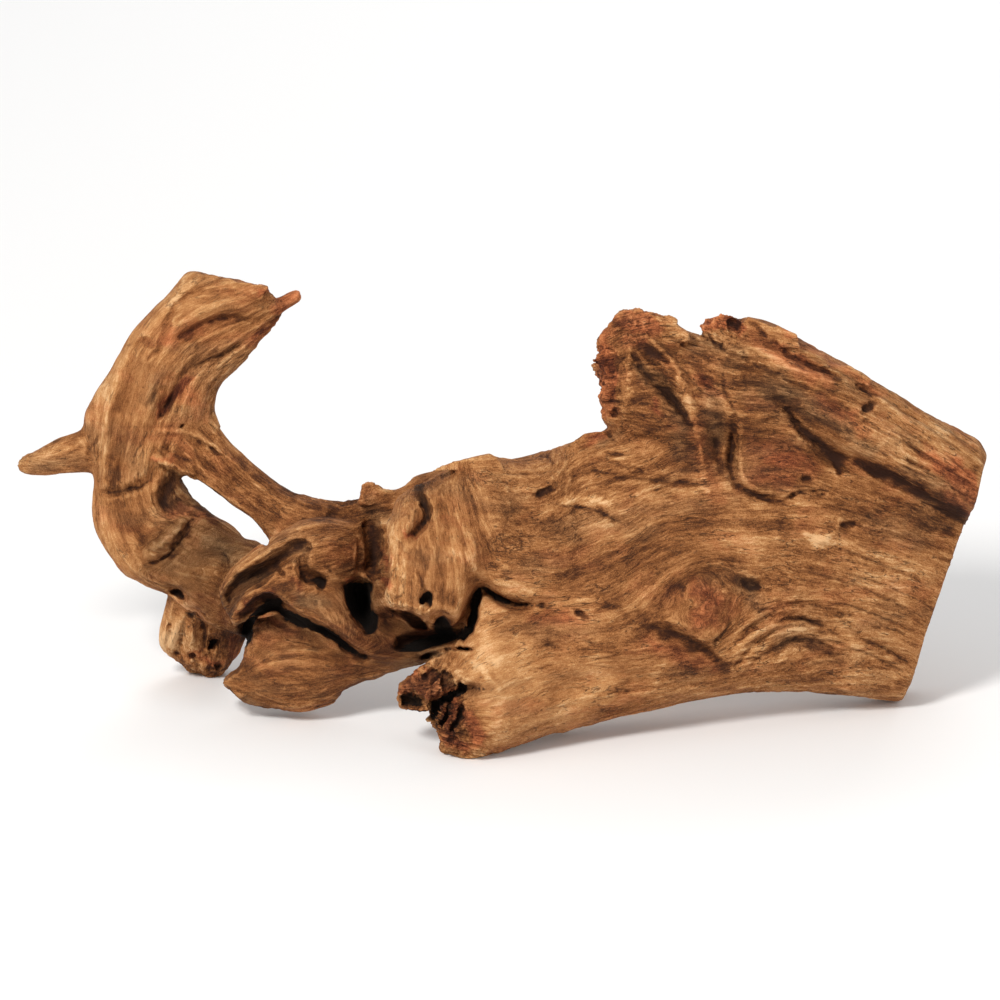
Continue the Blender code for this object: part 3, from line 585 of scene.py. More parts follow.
# Creases, and ridges where the depth is below zero: runs of u, v, half width and depth
CREASES = (
    # Rim of the hood, its shell and flap
    (
        (352, 528, 5, -2), (325, 524, 6, -3), (298, 528, 7, -5), (272, 545, 7, -5), (247, 561, 7, -5),
        (228, 578, 6, -5), (219, 600, 5, -4), (219, 616, 4, -3),
    ),
    (
        (227, 629, 4, -3), (231, 616, 5, -4), (241, 602, 5, -4), (252, 593, 5, -3), (266, 590, 4, -3),
        (280, 594, 4, -3),
    ),
    (
        (305, 570, 4, -2), (314, 575, 4, -3), (328, 573, 4, -2), (342, 581, 4, -3), (356, 580, 4, -3),
        (366, 574, 4, -3), (370, 562, 4, -3), (365, 548, 5, -3), (357, 534, 5, -2),
    ),
    ((290, 545, 6, -2), (294, 560, 6, -4), (296, 576, 5, -4), (297, 588, 4, -2)),
    ((284, 598, 5, -3), (290, 608, 6, -4), (302, 610, 5, -3)),
    ((303, 594, 8, -3), (320, 612, 9, -4), (340, 630, 8, -3), (358, 645, 6, -2)),
    ((345, 560, 16, -3), (330, 548, 16, -3)),
    # Stub's root and the horn
    ((100, 434, 4, -2), (97, 444, 5, -5), (94, 452, 5, -5), (95, 462, 4, -3)),
    ((84, 440, 4, 2), (88, 449, 4, 5), (86, 458, 4, 3)),
    ((195, 276, 9, -3), (172, 300, 10, -4), (150, 325, 9, -3), (136, 340, 8, -1)),
    ((186, 296, 4, 2), (172, 310, 5, 5), (166, 330, 5, 6), (158, 348, 5, 6), (149, 358, 4, 3)),
    ((182, 302, 4, 3), (192, 294, 4, 4), (215, 292, 3.5, 4), (240, 293, 3, 3), (262, 298, 3, 1)),
    ((188, 302, 3, 1), (206, 300, 3, 3), (222, 296, 3, 3), (245, 297, 3, 1)),
    ((172, 340, 5, 2), (184, 334, 7, 7), (200, 325, 5, 5), (222, 318, 4, 5), (252, 319, 3, 3)),
    ((186, 348, 5, -2), (202, 338, 6, -4), (225, 328, 6, -4), (252, 322, 5, -2)),
    ((192, 366, 3, 1), (210, 358, 4, 4), (232, 349, 4, 5), (252, 341, 4, 4)),
    ((246, 346, 4, 2), (262, 333, 6, 5), (280, 317, 5, 4)),
    ((134, 345, 5, 1), (144, 341, 6, 4), (154, 346, 4, 2)),
    ((130, 350, 3, 1), (131, 360, 4, 4), (127, 372, 3, 2)),
    ((165, 385, 4, 2), (155, 394, 5, 4), (146, 405, 4, 2)),
    ((116, 372, 5, -2), (109, 400, 6, -4), (105, 430, 6, -4), (104, 462, 6, -4), (103, 486, 5, -3)),
    ((124, 420, 4, 2), (124, 438, 4, 4), (119, 462, 4, 4), (113, 482, 4, 4)),
    ((148, 440, 4, -1), (146, 458, 5, -3), (142, 474, 4, -2)),
    ((106, 499, 5, -2), (122, 497, 5, -3), (138, 494, 5, -2)),
    ((147, 553, 8, -3), (160, 543, 9, -5), (175, 530, 8, -4), (187, 518, 6, -2)),
    ((140, 518, 7, 2), (142, 535, 8, 4), (140, 552, 7, 2)),
    # Strut
    ((160, 430, 4, -4), (186, 432, 5, -6), (210, 444, 6, -7), (238, 467, 6, -6), (262, 488, 5, -3)),
    ((152, 457, 4, -3), (175, 466, 5, -6), (205, 484, 6, -6), (240, 508, 6, -5), (262, 527, 4, -2)),
    ((180, 448, 4, 2), (205, 462, 5, 4), (238, 484, 5, 4), (270, 508, 4, 2)),
    ((352, 529, 3, -2), (365, 522, 3, -3), (379, 512, 3, -2)),
    # Bough
    ((628, 336, 7, -3), (627, 365, 8, -5), (626, 395, 8, -5), (622, 422, 6, -3)),
    ((610, 345, 5, 2), (612, 372, 6, 4), (611, 400, 5, 3)),
    (
        (633, 356, 4, 4), (641, 370, 6, 7), (656, 385, 7, 8), (672, 399, 7, 8), (686, 417, 6, 7),
        (692, 430, 4, 3),
    ),
    (
        (652, 340, 5, -2), (665, 352, 6, -5), (676, 368, 6, -6), (684, 390, 6, -5), (692, 414, 7, -4),
        (699, 440, 7, -3), (704, 470, 6, -2), (710, 500, 4, -1),
    ),
    ((636, 352, 4, -2), (650, 367, 5, -3), (668, 381, 4, -2)),
    ((690, 352, 6, 2), (704, 380, 8, 5), (716, 405, 8, 6), (722, 430, 7, 4)),
    ((708, 420, 5, 2), (716, 445, 7, 6), (722, 470, 6, 4)),
    ((733, 416, 5, 4), (733, 440, 6, 8), (730, 460, 6, 8), (732, 478, 5, 5)),
    ((741, 424, 5, -3), (738, 445, 6, -4), (739, 465, 6, -4), (748, 484, 5, -4), (770, 494, 5, -3)),
    ((745, 424, 5, -2), (765, 415, 6, -4), (784, 406, 5, -2)),
    ((722, 348, 5, -2), (745, 350, 7, -4), (770, 356, 7, -5), (795, 367, 6, -4), (830, 384, 5, -2)),
    ((746, 378, 7, 2), (772, 394, 9, 5), (800, 412, 9, 6), (835, 432, 8, 4)),
    (
        (838, 447, 4, -1), (858, 446, 5, -3), (880, 452, 5, -4), (905, 462, 5, -4), (935, 478, 5, -3),
        (962, 496, 5, -2),
    ),
    ((790, 352, 4, -1), (820, 362, 5, -3), (850, 378, 5, -2)),
    ((880, 398, 5, -1), (910, 424, 6, -3), (945, 448, 6, -3), (970, 462, 5, -1)),
    ((795, 500, 5, -2), (812, 498, 5, -3), (832, 502, 4, -2)),
    # Knot, healed branch and arches of the trunk
    ((686, 598, 5, -1), (696, 580, 6, -2), (716, 574, 6, -2), (732, 588, 5, -1)),
    ((843, 508, 4, -1), (836, 530, 5, -3), (815, 547, 6, -2)),
    ((758, 602, 5, -2), (780, 608, 6, -4), (806, 611, 6, -4), (834, 618, 5, -2)),
    ((733, 655, 5, -1), (748, 640, 6, -4), (764, 628, 6, -4), (786, 618, 5, -2)),
    ((700, 640, 6, -1), (716, 652, 7, -4), (734, 672, 6, -3)),
    ((640, 628, 5, -2), (660, 620, 6, -3), (690, 626, 5, -2)),
    ((570, 500, 7, -2), (590, 500, 8, -3), (610, 506, 6, -1)),
    ((532, 640, 6, -2), (548, 637, 7, -3), (566, 642, 6, -2)),
    ((500, 590, 8, -2), (540, 594, 8, -3), (590, 600, 7, -2)),
    ((470, 660, 5, -1), (485, 672, 6, -3), (500, 690, 5, -1)),
    # Lobe, bridge and tusk
    (
        (250, 625, 4, -2), (262, 615, 4, -4), (276, 616, 4, -4), (290, 627, 5, -3), (312, 636, 5, -3),
        (340, 652, 5, -3), (358, 664, 4, -2),
    ),
    ((262, 630, 8, 1), (290, 640, 9, 3), (318, 648, 8, 2)),
    ((240, 664, 6, -1), (250, 650, 7, -3), (256, 640, 6, -2)),
    ((372, 655, 4, -2), (388, 658, 5, -4), (412, 658, 4, -2)),
    ((415, 663, 4, -2), (432, 656, 4, -4), (452, 650, 4, -4), (462, 648, 3, -2)),
    ((442, 664, 4, -2), (456, 672, 5, -4), (470, 683, 4, -3)),
    ((410, 685, 5, -3), (425, 686, 6, -5), (440, 690, 5, -3)),
    ((424, 694, 4, -2), (427, 704, 4, -4), (430, 714, 3, -2)),
    ((437, 718, 3, -3), (443, 709, 3.5, -5), (450, 700, 3, -4)),
    ((447, 728, 3, -3), (454, 718, 3.5, -5), (462, 709, 3, -4)),
    ((462, 700, 5, -2), (468, 714, 6, -3), (466, 728, 6, -2)),
    # Burl
    ((398, 540, 4, 3), (402, 565, 5, 4), (396, 590, 4, 3)),
    ((440, 505, 8, 3), (447, 530, 9, 5), (443, 552, 8, 3)),
    ((428, 530, 10, -3), (432, 556, 10, -5), (430, 580, 8, -3)),
    ((404, 503, 10, -4), (413, 510, 10, -7), (409, 524, 9, -6), (402, 534, 6, -3)),
    ((404, 512, 9, -2), (396, 532, 9, -4), (394, 556, 9, -3), (384, 580, 9, -4), (382, 598, 8, -3)),
    ((398, 503, 8, -2), (408, 510, 9, -5), (406, 522, 8, -4), (400, 532, 6, -2)),
    ((418, 500, 4, -2), (427, 498, 5, -4), (433, 504, 4, -2)),
    ((420, 538, 6, -2), (424, 550, 7, -3), (420, 562, 6, -2)),
    ((456, 516, 6, -2), (468, 540, 7, -5), (472, 560, 7, -5), (480, 574, 6, -4), (500, 586, 6, -2)),
    ((474, 524, 8, 2), (484, 548, 9, 4), (494, 566, 8, 3)),
    ((372, 604, 4, -3), (390, 604, 5, -4), (408, 606, 5, -4), (420, 612, 4, -2)),
    ((421, 609, 2.5, -4), (424, 604, 2, -4)),
    ((426, 612, 3, -4), (432, 608, 2.5, -4)),
    ((440, 606, 7, -2), (456, 612, 8, -3), (464, 600, 6, -2)),
    ((375, 620, 5, -2), (385, 630, 6, -3), (395, 642, 5, -3)),
    # Foot
    ((160, 640, 6, -2), (168, 618, 7, -3), (172, 602, 6, -2)),
    ((191, 618, 5, -3), (191, 636, 6, -7), (187, 652, 5, -4)),
    ((174, 616, 5, -2), (173, 634, 5, -5), (170, 648, 4, -3)),
    ((209, 622, 4, -2), (206, 632, 4, -3), (204, 640, 3, -2)),
    ((222, 606, 3, -2), (224, 616, 4, -3), (228, 626, 3, -3)),
)

# Long furrows of the grain, and low swellings: length, width across it and height, in pixels
GRAIN_WAVES = ((170.0, 17.0, 1.8), (80.0, 7.5, 1.7), (34.0, 3.6, 0.7))
LOW_SWELLS = (220.0, 60.0, 2.0)

# Where a furrow's flank levels off, and how far the furrows lie below the skin, as shares of their height
FURROW_CREST = 0.5
FURROW_SINK = 0.6

# How much of the furrows each place has: the middle, the least and the most, and the length of the waves
WEAR = (0.75, 0.25, 1.4)
WEAR_LENGTH = 110

# How much of the furrows and of the tones calm wood loses
CALM_FURROWS = 0.5
CALM_TONES = 0.45

# Waves of the grain itself: length and height, and what keeps the two axes apart
WARP = ((110.0, 5.0), (30.0, 1.5))
WARP_APART = 10

# Below this height the wood rests and stays flat, and what faces along X so squarely is its smooth sawn end
REST_HEIGHT = 2 * MM
SAWN_FACING = 0.9
SAWN_RELIEF = 0.15

# Torn and rotten places: u, v, reach and roughness
ROUGH_SPOTS = (
    (606, 370, 40, 5.0),
    (640, 322, 36, 4.0),
    (722, 325, 26, 4.0),
    (435, 700, 44, 6.5),
    (460, 742, 32, 6.0),
    (196, 645, 44, 2.2),
    (200, 664, 26, 3.4),
    (392, 560, 34, 2.5),
    (708, 606, 30, 2.0),
    (300, 590, 40, 1.6),
    (960, 490, 24, 1.5),
)

# The size of the crumbs, and how far they lie below the skin
CRUMB = 9.0
CRUMB_SINK = 0.8

# Stains of colour, with painted highlights among the pale ones and painted shade and shadows among the dark
# ones: runs of u, v, half width and strength, where the strongest counts
RED_STAINS = (
    ((604, 335, 14, 0.9), (603, 372, 14, 1.3), (606, 412, 12, 0.9)),
    ((618, 318, 14, 0.8), (640, 322, 16, 1.2), (656, 330, 12, 0.8)),
    ((640, 345, 10, 0.9), (626, 340, 10, 0.7)),
    ((612, 368, 8, 1.2), (611, 400, 8, 1.2)),
    ((656, 400, 4, 1.2), (659, 418, 4, 0.9)),
    ((698, 378, 7, 0.5), (710, 390, 8, 1.0), (720, 398, 6, 0.8)),
    ((706, 326, 8, 1.0), (722, 322, 12, 1.4), (738, 326, 8, 1.3)),
    ((750, 335, 10, 0.6), (775, 352, 12, 0.8), (800, 366, 12, 0.9), (830, 382, 12, 0.7)),
    ((785, 332, 6, 0.8), (805, 344, 6, 0.6), (850, 372, 7, 0.7), (868, 384, 7, 0.8), (884, 394, 6, 0.6)),
    ((822, 405, 12, 1.0), (845, 418, 12, 0.8), (866, 430, 9, 0.5)),
    ((750, 448, 14, 0.7), (780, 455, 18, 0.9), (810, 465, 14, 0.8)),
    ((760, 475, 12, 0.7), (790, 482, 12, 0.7)),
    ((750, 400, 12, 0.5), (770, 405, 10, 0.5)),
    ((925, 455, 10, 0.8), (945, 465, 14, 1.4), (965, 482, 14, 2.0), (976, 500, 10, 1.7)),
    ((950, 498, 12, 1.2), (968, 512, 9, 1.3)),
    ((700, 590, 14, 0.9), (712, 602, 18, 1.0), (700, 620, 14, 0.8)),
    ((735, 600, 10, 0.5), (730, 620, 8, 0.5)),
    ((650, 640, 10, 0.5), (680, 655, 14, 0.7), (715, 668, 10, 0.5)),
    ((535, 618, 9, 0.7), (558, 620, 10, 0.8), (578, 622, 8, 0.6)),
    ((590, 440, 8, 0.9), (604, 436, 7, 0.9)),
    ((700, 440, 16, 0.4), (715, 500, 12, 0.3)),
    ((466, 712, 8, 1.0), (474, 728, 9, 1.7), (478, 742, 9, 1.3)),
    ((446, 740, 9, 1.0), (468, 750, 9, 1.2)),
    ((404, 686, 8, 1.8), (420, 688, 9, 2.2), (436, 692, 8, 1.8)),
    ((416, 676, 9, 1.2), (440, 680, 10, 1.2), (452, 705, 10, 1.0), (448, 730, 10, 1.0)),
    ((282, 304, 13, 1.6), (298, 296, 11, 1.6)),
    ((262, 290, 5, 1.1), (268, 288, 4, 1.1)),
    ((170, 340, 12, 0.6), (190, 330, 12, 0.6), (230, 320, 10, 0.3)),
    ((250, 344, 8, 0.8), (275, 322, 7, 0.8)),
    ((188, 378, 6, 0.8), (172, 396, 8, 1.2), (158, 414, 7, 0.9)),
    ((190, 395, 12, 0.5), (200, 412, 10, 0.5)),
    ((164, 514, 6, 0.9), (176, 512, 7, 1.2), (190, 508, 5, 0.9)),
    ((196, 516, 6, 0.8), (212, 520, 6, 0.8)),
    ((150, 456, 3, 0.9), (172, 460, 5, 0.7)),
    ((175, 435, 9, 0.5), (190, 450, 8, 0.4)),
    ((190, 655, 8, 0.6), (212, 665, 8, 1.0)),
    ((230, 640, 10, 0.7), (234, 656, 9, 0.7)),
    ((240, 612, 7, 0.7), (258, 601, 6, 0.8), (272, 596, 5, 0.7)),
    ((255, 620, 5, 0.8), (268, 618, 5, 0.8), (290, 632, 7, 0.5)),
    ((294, 580, 5, 0.6), (300, 594, 6, 0.8), (292, 604, 5, 0.5)),
    ((350, 579, 4, 1.4), (362, 577, 4, 1.2)),
    ((372, 530, 8, 0.6), (378, 552, 6, 0.6)),
    ((386, 558, 5, 1.3), (389, 568, 4, 0.9)),
    ((384, 580, 4, 1.2), (390, 586, 4, 1.0)),
    ((402, 532, 3, 1.4), (413, 536, 3, 1.4)),
    ((405, 640, 8, 0.8), (425, 634, 8, 0.8)),
)
# Pale wood, and painted highlights along lit ridges, rims and edges
PALE_STAINS_AND_PAINTED_HIGHLIGHTS = (
    ((480, 650, 30, 0.5), (520, 690, 44, 0.7), (560, 700, 40, 0.5)),
    ((168, 645, 22, 1.8), (180, 612, 20, 1.6)),
    ((890, 420, 26, 0.5), (950, 450, 30, 0.8)),
    ((860, 600, 50, 0.4), (900, 640, 40, 0.4)),
    ((398, 510, 12, 0.5), (395, 540, 12, 0.8), (400, 575, 12, 0.7), (388, 600, 10, 0.8)),
    ((420, 545, 12, 0.6), (445, 550, 14, 0.8), (462, 550, 10, 1.0)),
    ((440, 520, 12, 0.5), (470, 560, 8, 1.0), (495, 580, 8, 0.9), (530, 592, 8, 0.6)),
    ((460, 590, 8, 0.5), (455, 612, 8, 0.5)),
    ((486, 610, 8, 0.9), (484, 640, 12, 1.0), (478, 665, 12, 0.9)),
    ((500, 620, 14, 0.7), (520, 650, 20, 0.7), (500, 690, 22, 0.9), (500, 730, 14, 0.9)),
    ((560, 660, 18, 0.6), (600, 680, 20, 0.9), (560, 715, 16, 0.9)),
    ((640, 690, 14, 0.7), (700, 690, 8, 0.4)),
    ((620, 640, 12, 0.5), (640, 600, 12, 0.4), (690, 560, 8, 0.5)),
    ((568, 500, 9, 1.4), (603, 502, 9, 1.4)),
    ((640, 495, 5, 0.6), (668, 500, 4, 0.5)),
    ((808, 539, 7, 1.7), (828, 539, 7, 1.7)),
    ((838, 540, 5, 1.1), (848, 548, 5, 0.8)),
    ((700, 480, 4, 0.7), (705, 500, 4, 0.4)),
    (
        (655, 350, 4, 0.7), (676, 368, 4, 0.9), (686, 395, 5, 0.6), (693, 420, 5, 0.5),
        (700, 450, 5, 0.4), (706, 480, 5, 0.3),
    ),
    ((628, 350, 6, 0.5), (627, 390, 6, 0.7), (622, 420, 5, 0.5)),
    ((755, 350, 6, 0.9), (775, 358, 6, 1.0), (800, 368, 5, 0.7)),
    ((845, 448, 4, 0.6), (870, 452, 4, 0.6), (900, 462, 4, 0.5)),
    ((890, 425, 6, 0.5), (925, 445, 6, 0.5)),
    ((940, 425, 8, 0.7), (965, 442, 8, 1.0), (980, 460, 6, 0.9)),
    ((800, 560, 10, 0.4), (860, 560, 10, 0.4), (920, 570, 10, 0.5)),
    ((860, 600, 8, 0.4), (900, 612, 8, 0.6), (920, 620, 8, 0.6)),
    ((780, 690, 6, 0.4), (860, 680, 8, 0.5), (890, 680, 8, 0.5)),
    ((190, 278, 9, 0.6), (168, 300, 8, 0.8), (140, 330, 8, 0.5), (118, 365, 8, 0.5), (98, 400, 9, 0.6)),
    ((108, 385, 4, 0.9), (104, 420, 4, 0.9), (102, 470, 4, 0.7)),
    ((205, 340, 5, 0.4), (235, 330, 5, 0.5)),
    ((176, 372, 4, 0.7), (165, 385, 4, 0.6), (150, 405, 4, 0.6)),
    ((208, 418, 4, 1.0), (212, 430, 4, 0.7)),
    ((105, 520, 8, 0.6), (112, 545, 8, 0.7), (130, 570, 8, 0.6)),
    ((152, 550, 6, 0.7), (166, 540, 6, 0.8), (180, 528, 5, 0.6)),
    ((200, 535, 7, 0.5), (220, 552, 8, 0.6), (205, 575, 10, 0.6)),
    ((235, 560, 4, 0.7), (256, 546, 4, 0.9), (280, 532, 4, 0.9), (300, 526, 4, 0.6)),
    ((232, 608, 3, 0.9), (240, 598, 3, 0.9), (250, 592, 3, 0.7)),
    ((256, 658, 8, 0.5), (290, 652, 8, 0.5), (330, 650, 7, 0.6)),
    ((25, 465, 6, 0.3), (60, 448, 5, 0.7), (85, 440, 5, 0.8)),
    ((450, 660, 4, 1.0), (464, 672, 4, 1.0)),
    ((458, 695, 4, 1.0), (470, 694, 5, 1.0)),
    ((422, 606, 2, 1.6), (424, 612, 2, 1.2)),
    ((428, 612, 2, 1.6), (433, 607, 2, 1.6)),
    ((182, 651, 4, 0.9), (184, 656, 3, 0.7)),
)
